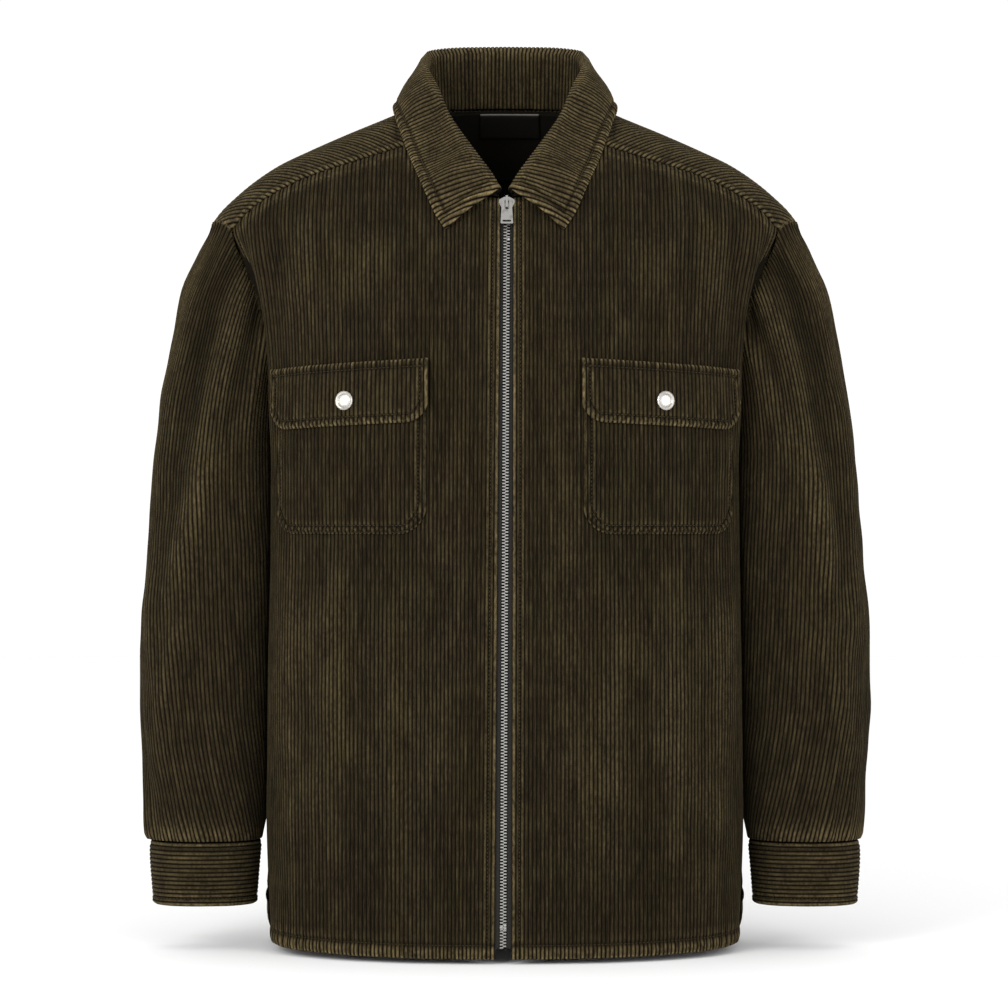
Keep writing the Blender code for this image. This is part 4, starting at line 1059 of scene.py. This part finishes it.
def make_yoke(look):
    sheet = fitted_sheet(yoke_base, on_yoke, TIP_X + 40.0, -90.0, 240.0, 0.25)
    to_top, to_low = sheet.distance("top"), sheet.distance("low")
    front = (0.8 * bump(to_top, 4.0, 2.6) - 0.9 * bump(to_top, 0.0, 1.4)
             - 0.6 * bump(to_top, 8.0, 1.0))
    rise = np.where(sheet.v < 30.0, front, -0.6 * bump(to_low, 0.0, 1.4))
    rise = rise + pucker(sheet.u, to_top, 10.0, 8, 0.5)
    wear = 0.7 * bump(to_top, 0.8, 2.0) + 0.5 * bump(sheet.v, 0.0, 16.0)
    wear = wear + 0.4 * bump(to_low, 0.8, 1.8) + 0.34
    edge = sheet.edges["top"]
    rows = [(thinned(edge[edge[:, 0] * sign > NECK_X + 24.0] + np.array([0.0, 5.0]), 3.0), 0.4)
            for sign in (-1.0, 1.0)]
    # Painted shade along a line 8 mm inside the yoke's top edge and along that edge.
    dark = groove_shade(to_top - 8.0, to_top)
    return make_corduroy("yoke", sheet, look, CLOTH, rise, wear, dark, rows)


# ---- collar ------------------------------------------------------------------------
ROLL_LINE = COLLAR_TABLE[:, LEAF_ROW]
ROLL_REACH = run_along(ROLL_LINE)
COLLAR_END = ROLL_REACH[-1]
LEAF_LEAN = np.array([
    # share  how far a wale leans back along the collar by the leaf's edge
    (0.0, 0.0), (0.5, 0.0), (0.66, 0.04), (0.78, 0.07), (1.0, 0.06), (1.3, 0.06)])
LEAF_LONG = run_along(COLLAR_TABLE[:, LEAF_ROW:])[:, -1]
STAND_LONG = run_along(COLLAR_TABLE[:, :LEAF_ROW + 1])[:, -1]


def collar_place(u, v):
    """Share along the collar, and column in its table, for a place on its cloth."""
    reach = np.abs(u)
    share = np.interp(reach, ROLL_REACH, COLLAR_SHARES)
    share = share + np.maximum(reach - COLLAR_END, 0.0) / COLLAR_END
    down = np.maximum(v, 0.0) / LEAF_RUN
    share = share - np.interp(share, *LEAF_LEAN.T) * down
    known = np.clip(share, 0.0, 1.0)
    leaf = v / np.interp(known, COLLAR_SHARES, LEAF_LONG)
    stand = v / np.interp(known, COLLAR_SHARES, STAND_LONG)
    column = np.where(v >= 0, LEAF_ROW + leaf * (COLLAR_TABLE.shape[1] - 1 - LEAF_ROW),
                      LEAF_ROW + stand * LEAF_ROW)
    return share, column


def collar_base(u, v):
    share, column = collar_place(u, v)
    row = np.clip(share, 0.0, 1.0) * (len(COLLAR_SHARES) - 1)
    return mirrored_by(blend_cells(COLLAR_TABLE, row, column), u)


def on_collar(u, v):
    share, column = collar_place(u, v)
    return (share <= 1.0) & (column >= 0.0) & (column <= COLLAR_TABLE.shape[1] - 1.02)


def make_collar(look):
    sheet = fitted_sheet(collar_base, on_collar, COLLAR_END + 34.0, -80.0, 110.0, 0.25)
    u, v, stitching = sheet.u, sheet.v, 9.0
    to_low, to_top = sheet.distance("low"), sheet.distance("top")
    to_end = (1.0 - collar_place(u, v)[0]) * COLLAR_END * 0.8
    rim = np.minimum(to_low, np.where(v > 0, to_end, 1e3))
    rise, wear = seam_marks(rim, stitching, 0.8)
    gather = pucker(u, rim - 4.0, 6.0, 9, 0.5)
    rise = rise + gather + 0.9 * wander(u, v, 10, 26.0) * ease(v, 6.0, 30.0)
    rise = rise - 0.5 * bump(to_top, 0.0, 1.4)
    wear = (wear + 0.6 * bump(v, 0.0, 7.0) + 0.34) * (0.45 + 0.55 * ease(v, -18.0, -2.0))
    # Painted shade along the stitching groove and in the hollows of the puckers by the edge.
    dark = groove_shade(rim - stitching) + np.maximum(-gather, 0.0)
    line = sheet.edges["low"] - np.array([0.0, stitching])
    line = line[np.abs(line[:, 0]) < COLLAR_END - 14.0]
    return make_corduroy("collar", sheet, look, COLLAR_CLOTH, rise, wear + 0.5 * gather, dark,
                         [(thinned(line, 3.0), 0.35)])


# ---- sleeves and cuffs -------------------------------------------------------------
SLEEVE_STEP = 4.0
SLEEVE_Z = np.arange(TIP_Z, CUFF_TOP_Z - 6.0, -SLEEVE_STEP)
SLEEVE_DEG = np.linspace(0.0, 180.0, 361)
SLEEVE_U = np.arange(0.0, 262.0, STEP)


def sleeve_share(angle, z):
    start = armhole_point(angle)[..., 2]
    return (start - z) / (start - (CUFF_TOP_Z + SEWN))


def sleeve_tables():
    """Degrees round the sleeve by level and distance, in front (1) and behind (-1)."""
    tables = {}
    for sign in (1.0, -1.0):
        degrees, levels = np.meshgrid(SLEEVE_DEG, SLEEVE_Z)
        angle = np.radians(degrees) * sign
        share = sleeve_share(angle, levels)
        points = sleeve_point(angle, np.clip(share, 0.0, 1.0))
        points[..., 2] = levels
        run = run_along(points)
        known = np.array([np.interp(SLEEVE_U, row, SLEEVE_DEG) for row in run])
        beyond = SLEEVE_U[None, :] - run[:, -1:]
        tables[sign] = np.where(beyond > 0, 180.0 + beyond * 0.8, known)
    return tables


SLEEVE_ANGLE = sleeve_tables()
CREASES = [
    # deg_top deg_low z_top  z_low  width height
    (0.0, 2.0, -97.0, -200.0, 26.0, 3.8),
    (96.0, 88.0, -140.0, -330.0, 8.0, 3.5),
    (10.0, 4.0, -108.0, -320.0, 9.0, 4.5),
    (60.0, 66.0, -98.0, -270.0, 7.5, 4.5),
    (36.0, 40.0, -96.0, -290.0, 8.5, -4.5),
    (84.0, 80.0, -108.0, -310.0, 8.0, -4.5),
    (74.0, 60.0, -290.0, -470.0, 9.0, 4.0),
    (30.0, 60.0, -380.0, -560.0, 9.0, 2.6),
    (80.0, 40.0, -430.0, -600.0, 9.0, 2.4),
    (110.0, 84.0, -400.0, -540.0, 8.0, -1.6),
    (14.0, 30.0, -470.0, -640.0, 9.0, -2.0),
    (-20.0, -50.0, -380.0, -560.0, 10.0, 2.6),
    (-90.0, -50.0, -430.0, -600.0, 10.0, 2.4)]
PLEATS = (-150.0, -118.0, -84.0, -48.0, -16.0, 12.0, 30.0, 52.0, 70.0, 92.0, 116.0, 150.0)


def creases(degrees, z, side):
    """Height of the sleeve's creases."""
    return fold_height(CREASES, degrees + 6.0 * side * np.sin(z / 60.0), z)


HEAD_FAN = 0.26          # how much closer the wales lie at the head of the sleeve
HEAD_REACH = -0.0060     # the share at which the sleeve starts, just over the armhole's edge


def sleeve_degrees(u, z):
    """Angle round the sleeve at a place; the wales fan out from the shoulder."""
    row = (SLEEVE_Z[0] - z) / SLEEVE_STEP
    run = np.abs(u) * (1 - HEAD_FAN * (1 - ease(-z, 90.0, 460.0))) / STEP
    return np.where(u >= 0, blend_cells(SLEEVE_ANGLE[1.0], row, run),
                    -blend_cells(SLEEVE_ANGLE[-1.0], row, run))


def sleeve_base_of(side):
    def base(u, v):
        z = -v
        degrees = sleeve_degrees(u, z)
        share = sleeve_share(np.radians(degrees), z)
        points = sleeve_point(np.radians(degrees), np.clip(share, 0.0, 1.0))
        points[..., 2] = z
        height = creases(degrees, z, side)
        near_cuff = ease(-z, 575.0, 636.0) * (1 - 0.75 * ease(-z, 639.0, 646.0))
        for number, place in enumerate(PLEATS):
            lean = 7.0 * math.sin(number * 2.1 + side) * (z - CUFF_TOP_Z) / 60.0
            middle = place + 5.0 * math.sin(number * 3.3 + side) + lean
            size = 1.9 + 0.9 * math.sin(number * 1.7 + side)
            height = height + near_cuff * size * bump(degrees, middle, 5.5)
        wave = 1.5 * wander(u + 300.0 * side, z * 0.8, 12, 40.0) * ease(-z, 150.0, 260.0)
        outer = ease(160.0 - np.abs(degrees), 0.0, 60.0) * ease(share, 0.0, 0.025)
        out = level_out(points, ARM_MID_X, ARM_MID_Y)
        return mirrored(points + out * ((height + wave) * outer)[..., None], side)
    return base


def on_sleeve(u, v):
    z = -v
    degrees = sleeve_degrees(u, z)
    share = sleeve_share(np.radians(degrees), z)
    return (np.abs(degrees) <= 179.6) & (share > HEAD_REACH) & (z > CUFF_TOP_Z + SEWN + 0.3)


def make_sleeve(name, side, look):
    sheet = fitted_sheet(sleeve_base_of(side), on_sleeve, 285.0, -TIP_Z - 4.0, -CUFF_TOP_Z, 0.5,
                         side)
    u, v = sheet.u, sheet.v
    to_top, to_cuff = sheet.distance("top"), -CUFF_TOP_Z - v
    rise = -0.5 * bump(to_top, 0.0, 1.6) + pucker(u, to_top, 14.0, 13, 0.8)
    rise = rise - 0.5 * bump(to_cuff, 0.0, 2.0)
    degrees = sleeve_degrees(u, -v)
    fold = creases(degrees, -v, side) + 0.6 * fold_height(SLEEVE_FOLDS, degrees, -v)
    wear = 0.5 * bump(to_top, 0.8, 2.0) + 0.45 * bump(to_cuff, 4.0, 12.0)
    wear = wear + 0.05 * np.maximum(fold, 0.0) + 0.05
    # Painted shade in the hollows of the creases and over the back half of the sleeve.
    dark = np.clip(-fold / 9.0, 0.0, 0.5) + 0.5 * ease(np.abs(degrees), 95.0, 150.0)
    return make_corduroy(name, sheet, look, CLOTH, rise, wear, dark, cells=SLEEVE_CELLS)


def make_cuff(name, side, look):
    degrees = np.linspace(-180.0, 180.0, 721)
    middle = np.full_like(degrees, (CUFF_TOP_Z + CUFF_BOTTOM_Z) / 2)
    run = run_along(sleeve_base(np.radians(degrees), middle))
    whole = run[-1]

    def base(u, v):
        angle = np.radians(np.interp(v, run, degrees))
        points = sleeve_base(angle, -u)
        out = level_out(points, *CUFF_MID)
        wave = 1.0 * wander(v * 0.7, u * 0.3, 14 + int(side > 0), 17.0)
        wave = wave - 1.2 * bump(u, -CUFF_TOP_Z, 14.0)
        calm = ease(v, 3.0, 30.0) * (1 - ease(v, whole - 30.0, whole - 3.0))
        return mirrored(points + out * (wave * calm)[..., None], side)

    start, stop = -(CUFF_TOP_Z - SEWN - 0.2), -CUFF_BOTTOM_Z
    places, wale = wale_columns(start, stop)
    top, low = np.full_like(places, 0.4), np.full_like(places, whole - 0.4)
    sheet = Sheet(base, places, wale, top, low, side=-side, row=3.5)
    to_low, to_top = stop - sheet.u, sheet.u - start
    rise, wear = seam_marks(to_low, 7.0, 0.6)
    rise = rise - 1.6 * bump(to_top, 0.0, 4.0)
    wear = wear + 0.35 * bump(to_top, 1.5, 2.2) + 0.20
    # Painted shade along both rows of stitching.
    dark = groove_shade(to_low - 7.0, to_top - 6.0)
    rows = [(np.stack([np.full(60, place), np.linspace(3.0, whole - 3.0, 60)], 1), 0.4)
            for place in (stop - 7.0, start + 6.0)]
    return make_corduroy(name, sheet, look, BAND_CLOTH, rise, wear, dark, rows)


# ---- pockets and flaps -------------------------------------------------------------
def make_pocket(name, side, look):
    places, wale = wale_columns(POCKET_IN, POCKET_OUT)
    top = np.full_like(places, -(FLAP_TOP_Z - FLAP_OUTER_DROP - 10.0))
    low = -rounded_low(places, POCKET_IN, POCKET_OUT, POCKET_BOTTOM_Z, POCKET_CORNER,
                       POCKET_CORNER)

    def out(u, v):
        share = np.clip((v - top[0]) / (-POCKET_BOTTOM_Z - top[0]), 0.0, 1.0)
        sideways = np.clip((u - POCKET_IN) / (POCKET_OUT - POCKET_IN), 0.0, 1.0)
        puff = 2.0 * np.sin(np.pi * sideways) ** 0.5
        puff = puff * np.sin(np.pi * np.clip(share, 0.12, 1.0)) ** 0.6
        return CLOTH + LAY_GAP + 0.4 + puff

    sheet = Sheet(front_surface(side, out), places, wale, top, low, side=-side)
    rim = sheet.distance("low", "start", "end")
    rise, wear = seam_marks(rim, 7.0, 0.8)
    gather = pucker(sheet.u + sheet.v, rim - 4.0, 5.0, 16, 0.5)
    rise = rise - 0.5 * bump(rim, 1.6, 0.7) + gather
    # Painted shade along the stitching, beside the edge and in the hollows of the puckers.
    dark = groove_shade(rim - 7.0, 0.8 * (rim - 1.8)) + np.maximum(-gather, 0.0)
    rows = [(round_inset(sheet, inset), 0.4) for inset in (1.8, 7.4)]
    return make_corduroy(name, sheet, look, CLOTH, rise, wear + 0.5 * gather, dark, rows)


def make_flap(name, side, look):
    start, stop = POCKET_IN - 2.0, POCKET_OUT + 3.0
    places, wale = wale_columns(start, stop)

    def top_at(u):
        return -(FLAP_TOP_Z - FLAP_OUTER_DROP * (u - start) / (stop - start))

    corners = rounded_low(places, start, stop, 0.0, FLAP_CORNER + 4.0, FLAP_CORNER)
    low = top_at(places) + FLAP_DEPTH - corners

    def out(u, v):
        share = np.clip((v - top_at(u)) / FLAP_DEPTH, 0.0, 1.0)
        return 2 * CLOTH + 2 * LAY_GAP + 0.8 + 2.4 * share ** 0.5

    sheet = Sheet(front_surface(side, out), places, wale, top_at(places), low, side=-side)
    rim, to_top = sheet.distance("low", "start", "end"), sheet.distance("top")
    rise, wear = seam_marks(rim, 7.0, 0.8)
    rise = rise - 0.6 * bump(to_top, 6.5, 1.0) + 0.4 * bump(to_top, 3.0, 2.4)
    rise = rise - 0.8 * bump(to_top, 0.0, 1.2)
    gather = pucker(sheet.u + sheet.v, rim - 4.0, 5.0, 17, 0.5)
    gather = gather + pucker(sheet.u, to_top - 3.0, 4.0, 18, 0.4)
    wear = wear + 0.7 * bump(to_top, 0.6, 1.8) + 0.08 + 0.5 * gather
    # Painted shade along the stitching and in the hollows of the puckers.
    dark = groove_shade(rim - 7.0, to_top - 6.5) + np.maximum(-gather, 0.0)
    rows = [(round_inset(sheet, inset), 0.4) for inset in (1.8, 7.2)]
    head = np.stack([places, top_at(places) + 6.5], 1)[4:-4]
    rows.append((thinned(head, 3.0), 0.4))
    return make_corduroy(name, sheet, look, BAND_CLOTH, rise + gather, wear, dark, rows)


# ---- inside the neck, and the zip --------------------------------------------------
def make_neck(look):
    def lining(depth):
        return lambda u, v: inner_back(u, -v, depth)

    places, flat = plain_columns(-71.0, 71.0, 3.0)
    top = -(NECK_Z + (NECK_BACK_Z - NECK_Z) * (1 - (places / NECK_X) ** 2) - 0.5)
    low = -FACING_LOW * (1 - np.clip(places / (FACING_REACH + 6.0), -1, 1) ** 2) ** 0.5
    sheet = Sheet(lining(FACING_IN), places, flat, top, np.maximum(low, top + 3.0), side=-1.0,
                  near=PLAIN_NEAR)
    facing = make_cloth("neck_facing", sheet, look["facing"], TAPE, wale=0.0)
    belongs(facing, "facing", "neck_facing")

    places, flat = plain_columns(-24.0, 33.0, 2.0)
    top, low = np.full_like(places, -15.0), np.full_like(places, 7.0)
    sheet = Sheet(lining(FACING_IN + TAPE + LAY_GAP + 0.4), places, flat, top, low, side=-1.0,
                  near=PLAIN_NEAR)
    label = make_cloth("neck_label", sheet, look["label"], TAPE, wale=0.0,
                       marks={"wear": bump(sheet.v, -15.0, 0.8)})
    belongs(label, "tape", "neck_label")
    return facing, label


def make_tape(name, side, look):
    inner = CHAIN_WIDTH / 2 - 0.4
    places, flat = plain_columns(inner, inner + TAPE_IN + TAPE_WIDTH, 1.2)

    def base(u, v):
        points = body_point("front", u + side * zip_x(-v), -v, TAPE_OUT)
        points[..., 0] = np.abs(points[..., 0]) * side
        return points

    sheet = Sheet(base, places, flat, np.full_like(places, -NECK_FRONT_Z + 1.5),
                  np.full_like(places, -HEM_Z - 9.0), side=-side, near=PLAIN_NEAR)
    item = make_cloth(name, sheet, look["tape"], TAPE, wale=0.0)
    return belongs(item, "tape", name)


TOOTH_EVERY = 2.7
TOOTH = (3.7, 1.5, 2.2)  # length across, height, thickness
TOOTH_OUT = -0.15        # the teeth's middle, from the chain's


def make_teeth(look):
    """Both rows of the zip's teeth as one mesh: rounded blocks, set in turn from each side."""
    levels = np.arange(CHAIN_TOP_Z + 4.0, CHAIN_BOTTOM_Z, -TOOTH_EVERY / 2)
    long, high, thick = TOOTH
    plan = np.array([(-0.5, -0.36), (-0.42, -0.5), (0.3, -0.5), (0.5, -0.25),
                     (0.5, 0.25), (0.3, 0.5), (-0.42, 0.5), (-0.5, 0.36)])
    points, faces = [], []
    for number, z in enumerate(levels):
        side = 1.0 if number % 2 else -1.0
        middle = body_point("front", np.array(0.0), np.array(z), CHAIN_OUT + TOOTH_OUT)
        normal = flat_normal("front", np.array(2.0), np.array(z)) * np.array([0.0, 1.0, 1.0])
        up = unit(np.cross(normal, [1.0, 0.0, 0.0]))
        up = up * (1.0 if up[2] > 0 else -1.0)
        centre = middle + np.array([zip_x(z) + side * 1.25, 0.0, 0.0])
        start = len(points)
        for depth, shrink in ((-0.5, 0.9), (0.3, 1.0), (0.5, 0.78)):
            for a, b in plan:
                points.append(centre + np.array([-side * a * long * shrink, 0.0, 0.0])
                              + up * b * high * shrink + normal * depth * thick)
        count = len(plan)
        for ring in range(2):
            for k in range(count):
                a, b = start + ring * count + k, start + ring * count + (k + 1) % count
                faces.append((a, b, b + count, a + count))
        faces.append(tuple(start + k for k in range(count))[::-1])
        faces.append(tuple(start + 2 * count + k for k in range(count)))
    item = make_mesh("zip_teeth", points, faces, look["zip_metal"])
    item.data.shade_flat()
    return belongs(item, "zip_metal", "zip_chain")


# ---- materials ---------------------------------------------------------------------
class Nodes:
    """A short way to write a material's nodes."""

    def __init__(self, name):
        self.material = bpy.data.materials.new(name)
        self.material.use_nodes = True
        self.tree = self.material.node_tree
        self.shader = self.tree.nodes["Principled BSDF"]

    def add(self, kind, **inputs):
        node = self.tree.nodes.new(kind)
        for key, value in inputs.items():
            if hasattr(node, key):
                setattr(node, key, value)
            else:
                self.feed(node.inputs[key.replace("_", " ")], value)
        return node

    def feed(self, socket, value):
        if isinstance(value, bpy.types.NodeSocket):
            self.tree.links.new(value, socket)
        else:
            socket.default_value = value

    def math(self, operation, a, b=0.0, clamp=False):
        node = self.tree.nodes.new("ShaderNodeMath")
        node.operation, node.use_clamp = operation, clamp
        self.feed(node.inputs[0], a)
        self.feed(node.inputs[1], b)
        return node.outputs[0]

    def times(self, a, b, clamp=False):
        return self.math("MULTIPLY", a, b, clamp)

    def plus(self, a, b, clamp=False):
        return self.math("ADD", a, b, clamp)

    def surface(self, **inputs):
        """Sets or feeds the shader's inputs, with _ for a space in their names."""
        for key, value in inputs.items():
            self.feed(self.shader.inputs[key.replace("_", " ")], value)

    def mix(self, share, a, b):
        node = self.tree.nodes.new("ShaderNodeMix")
        node.data_type = "RGBA"
        self.feed(node.inputs[0], share)
        self.feed(node.inputs[6], a if isinstance(a, bpy.types.NodeSocket) else (*a, 1.0))
        self.feed(node.inputs[7], b if isinstance(b, bpy.types.NodeSocket) else (*b, 1.0))
        return node.outputs[2]

    def value(self, name):
        node = self.tree.nodes.new("ShaderNodeAttribute")
        node.attribute_name = name
        return node.outputs["Fac"]

    def noise(self, scale, detail=3.0, stretch=(1.0, 1.0, 1.0), low=0.0, high=1.0):
        place = self.tree.nodes.new("ShaderNodeTexCoord").outputs["Object"]
        mapping = self.tree.nodes.new("ShaderNodeMapping")
        mapping.inputs["Scale"].default_value = stretch
        self.feed(mapping.inputs["Vector"], place)
        node = self.add("ShaderNodeTexNoise", Scale=scale, Detail=detail)
        self.feed(node.inputs["Vector"], mapping.outputs[0])
        return self.ramp(node.outputs["Fac"], low, high)

    def grain(self, across, along, low, high):
        """Uneven streaks that follow the wales; across and along are changes per millimetre."""
        join = self.tree.nodes.new("ShaderNodeCombineXYZ")
        self.feed(join.inputs[0], self.times(self.value("across"), across))
        self.feed(join.inputs[1], self.times(self.value("along"), along))
        node = self.add("ShaderNodeTexNoise", Scale=1.0, Detail=3.0)
        self.feed(node.inputs["Vector"], join.outputs[0])
        return self.ramp(node.outputs["Fac"], low, high)

    def ramp(self, value, low, high):
        node = self.tree.nodes.new("ShaderNodeMapRange")
        node.clamp = True
        self.feed(node.inputs["Value"], value)
        node.inputs["From Min"].default_value = low
        node.inputs["From Max"].default_value = high
        return node.outputs["Result"]


# The first colour is painted shade, for the grooves between the wales and for hollows.
PAINTED_GROOVE_SHADE = (0.0030, 0.0023, 0.0014)
FLANK = (0.0050, 0.0036, 0.0020)
BROWN = (0.0150, 0.0096, 0.0046)
OLIVE = (0.0175, 0.0138, 0.0058)
WORN = (0.185, 0.140, 0.066)
THREAD_LIGHT = (0.085, 0.066, 0.031)
PLAIN_SIDE = (0.006, 0.0048, 0.003)
THREAD = (0.040, 0.030, 0.015)
FACING_DARK = (0.0040, 0.0034, 0.0020)
LABEL_DARK = (0.004, 0.0035, 0.0024)
LABEL_PALE = (0.16, 0.15, 0.135)
TAPE_DARK = (0.012, 0.011, 0.009)


def corduroy_material():
    look = Nodes("corduroy")
    wale, wear, pile, tone = [look.value(name) for name in ("wale", "wear", "pile", "tone")]
    wide = look.noise(16.0, 4.0, low=0.36, high=0.64)
    blotch = look.noise(70.0, 4.0, (1.0, 1.0, 0.5), 0.36, 0.66)
    streak = look.grain(0.95, 0.035, 0.36, 0.66)
    thin = look.grain(2.4, 0.07, 0.52, 0.76)
    fleck = look.noise(420.0, 3.0, (1.0, 1.0, 0.5), 0.38, 0.70)
    shade = look.mix(look.times(look.plus(wide, blotch), 0.5), BROWN, OLIVE)
    light = look.times(look.plus(tone, streak), 0.5)
    light = look.plus(look.times(light, 0.85), look.times(blotch, 0.35))
    shade = look.mix(look.plus(look.times(light, 0.9), 0.12, True), FLANK, shade)
    rubbed = look.times(look.times(streak, tone), 0.22)
    rubbed = look.plus(wear, rubbed)
    uneven = look.plus(look.times(fleck, 0.6), look.times(light, 0.5))
    rubbed = look.times(rubbed, uneven, True)
    rubbed = look.times(rubbed, look.ramp(wale, 0.45, 1.0), True)
    shade = look.mix(rubbed, shade, WORN)
    shade = look.mix(look.times(thin, 0.50), shade, THREAD_LIGHT)
    crest = look.math("POWER", wale, 1.7)
    # Painted shade in the grooves between the wales: the colour darkens from crest to groove.
    shade = look.mix(crest, PAINTED_GROOVE_SHADE, shade)
    # Painted shade: the colour darkens toward the groove colour where a piece marks grooves and
    # hollows.
    shade = look.mix(look.times(look.value("dark"), 0.72, True), shade, PAINTED_GROOVE_SHADE)
    shade = look.mix(pile, PLAIN_SIDE, shade)
    look.surface(Base_Color=shade, Roughness=0.95, Specular_IOR_Level=0.04,
                 Sheen_Weight=look.times(crest, 0.05), Sheen_Roughness=0.5,
                 Sheen_Tint=(0.85, 0.70, 0.42, 1.0))
    fibre = look.noise(1500.0, 2.0, (1.0, 1.0, 0.45))
    bumps = look.add("ShaderNodeBump", Strength=0.7, Distance=0.0008)
    look.feed(bumps.inputs["Height"], look.plus(fibre, look.times(fleck, 0.8)))
    look.surface(Normal=bumps.outputs[0])
    return look.material


def plain_material(name, colour, rough, metal=0.0, grain=0.0, specular=0.3):
    look = Nodes(name)
    look.surface(Base_Color=(*colour, 1.0), Roughness=rough, Metallic=metal,
                 Specular_IOR_Level=specular)
    if grain:
        bumps = look.add("ShaderNodeBump", Strength=grain, Distance=0.0003)
        look.feed(bumps.inputs["Height"], look.noise(2200.0, 2.0))
        look.surface(Normal=bumps.outputs[0])
    return look


def label_material():
    look = plain_material("label", LABEL_DARK, 0.9, grain=0.4, specular=0.1)
    look.surface(Base_Color=look.mix(look.value("wear"), LABEL_DARK, LABEL_PALE))
    return look.material


def metal_material(name, colour, rough):
    look = plain_material(name, colour, rough, metal=1.0, grain=0.12, specular=0.5)
    stain = look.noise(260.0, 2.0, low=0.55, high=0.80)
    look.surface(Base_Color=look.mix(stain, colour, tuple(c * 0.6 for c in colour)))
    return look.material


def all_materials():
    return {
        "corduroy": corduroy_material(),
        "facing": plain_material("facing", FACING_DARK, 0.9, grain=0.3, specular=0.1).material,
        "tape": plain_material("tape", TAPE_DARK, 0.85, grain=0.5).material,
        "label": label_material(),
        "thread": plain_material("thread", THREAD, 0.9, specular=0.1).material,
        "zip_metal": metal_material("zip_metal", (0.36, 0.355, 0.335), 0.30),
        "button_metal": metal_material("button_metal", (0.50, 0.48, 0.44), 0.36)}


# ---- floor, light and camera -------------------------------------------------------
def make_stage():
    size = 6.0
    mesh = bpy.data.meshes.new("floor")
    level = HEM_Z * MM - 0.0045
    mesh.from_pydata([(-size, -size, level), (size, -size, level), (size, size, level),
                      (-size, size, level)], [], [(0, 1, 2, 3)])
    floor = bpy.data.objects.new("floor", mesh)
    mesh.materials.append(plain_material("paper", (0.94, 0.94, 0.94), 1.0, specular=0.0).material)
    bpy.context.scene.collection.objects.link(floor)


def add_lamp(name, place, target, size, power):
    data = bpy.data.lights.new(name, "AREA")
    data.shape, data.size, data.energy = "DISK", size, power
    lamp = bpy.data.objects.new(name, data)
    lamp.location = place
    lamp.rotation_euler = (Vector(target) - Vector(place)).to_track_quat("-Z", "Y").to_euler()
    bpy.context.scene.collection.objects.link(lamp)


def make_light():
    scene = bpy.context.scene
    scene.view_settings.view_transform = "Standard"
    world = bpy.data.worlds.new("studio")
    world.use_nodes = True
    backdrop = world.node_tree.nodes["Background"]
    backdrop.inputs["Color"].default_value = (1.0, 1.0, 1.0, 1.0)
    backdrop.inputs["Strength"].default_value = 1.05
    scene.world = world
    add_lamp("key", (-1.5, -2.3, 0.45), (0.0, 0.0, -0.2), 1.4, 46.0)
    add_lamp("fill", (1.7, -2.2, 0.25), (0.0, 0.0, -0.2), 1.4, 26.0)


def make_camera():
    data = bpy.data.cameras.new("camera")
    data.lens, data.sensor_width = 124.6, 36.0
    data.clip_end = 50.0
    camera = bpy.data.objects.new("camera", data)
    camera.location = (-0.0008, -3.14, -0.346)
    camera.rotation_euler = (math.pi / 2, 0.0, 0.0)
    bpy.context.scene.collection.objects.link(camera)
    bpy.context.scene.camera = camera


def build():
    look = all_materials()
    for name, side in SIDES.items():
        pieces = {
            "front": make_front(f"front_{name}", side, look),
            "sleeve": make_sleeve(f"sleeve_{name}", side, look),
            "cuff": make_cuff(f"cuff_{name}", side, look),
            "pocket": make_pocket(f"pocket_{name}", side, look),
            "flap": make_flap(f"flap_{name}", side, look),
            "tape": make_tape(f"zip_tape_{name}", side, look)}
    make_back(look)
    make_yoke(look)
    make_collar(look)
    facing, label = make_neck(look)
    make_teeth(look)
    for node in ("zip_slider", "zip_pull"):
        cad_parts[node].data.materials[0] = look["zip_metal"]
    for node in ("button_left", "button_right"):
        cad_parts[node].data.materials[0] = look["button_metal"]
    make_stage()
    make_light()
    make_camera()


build()
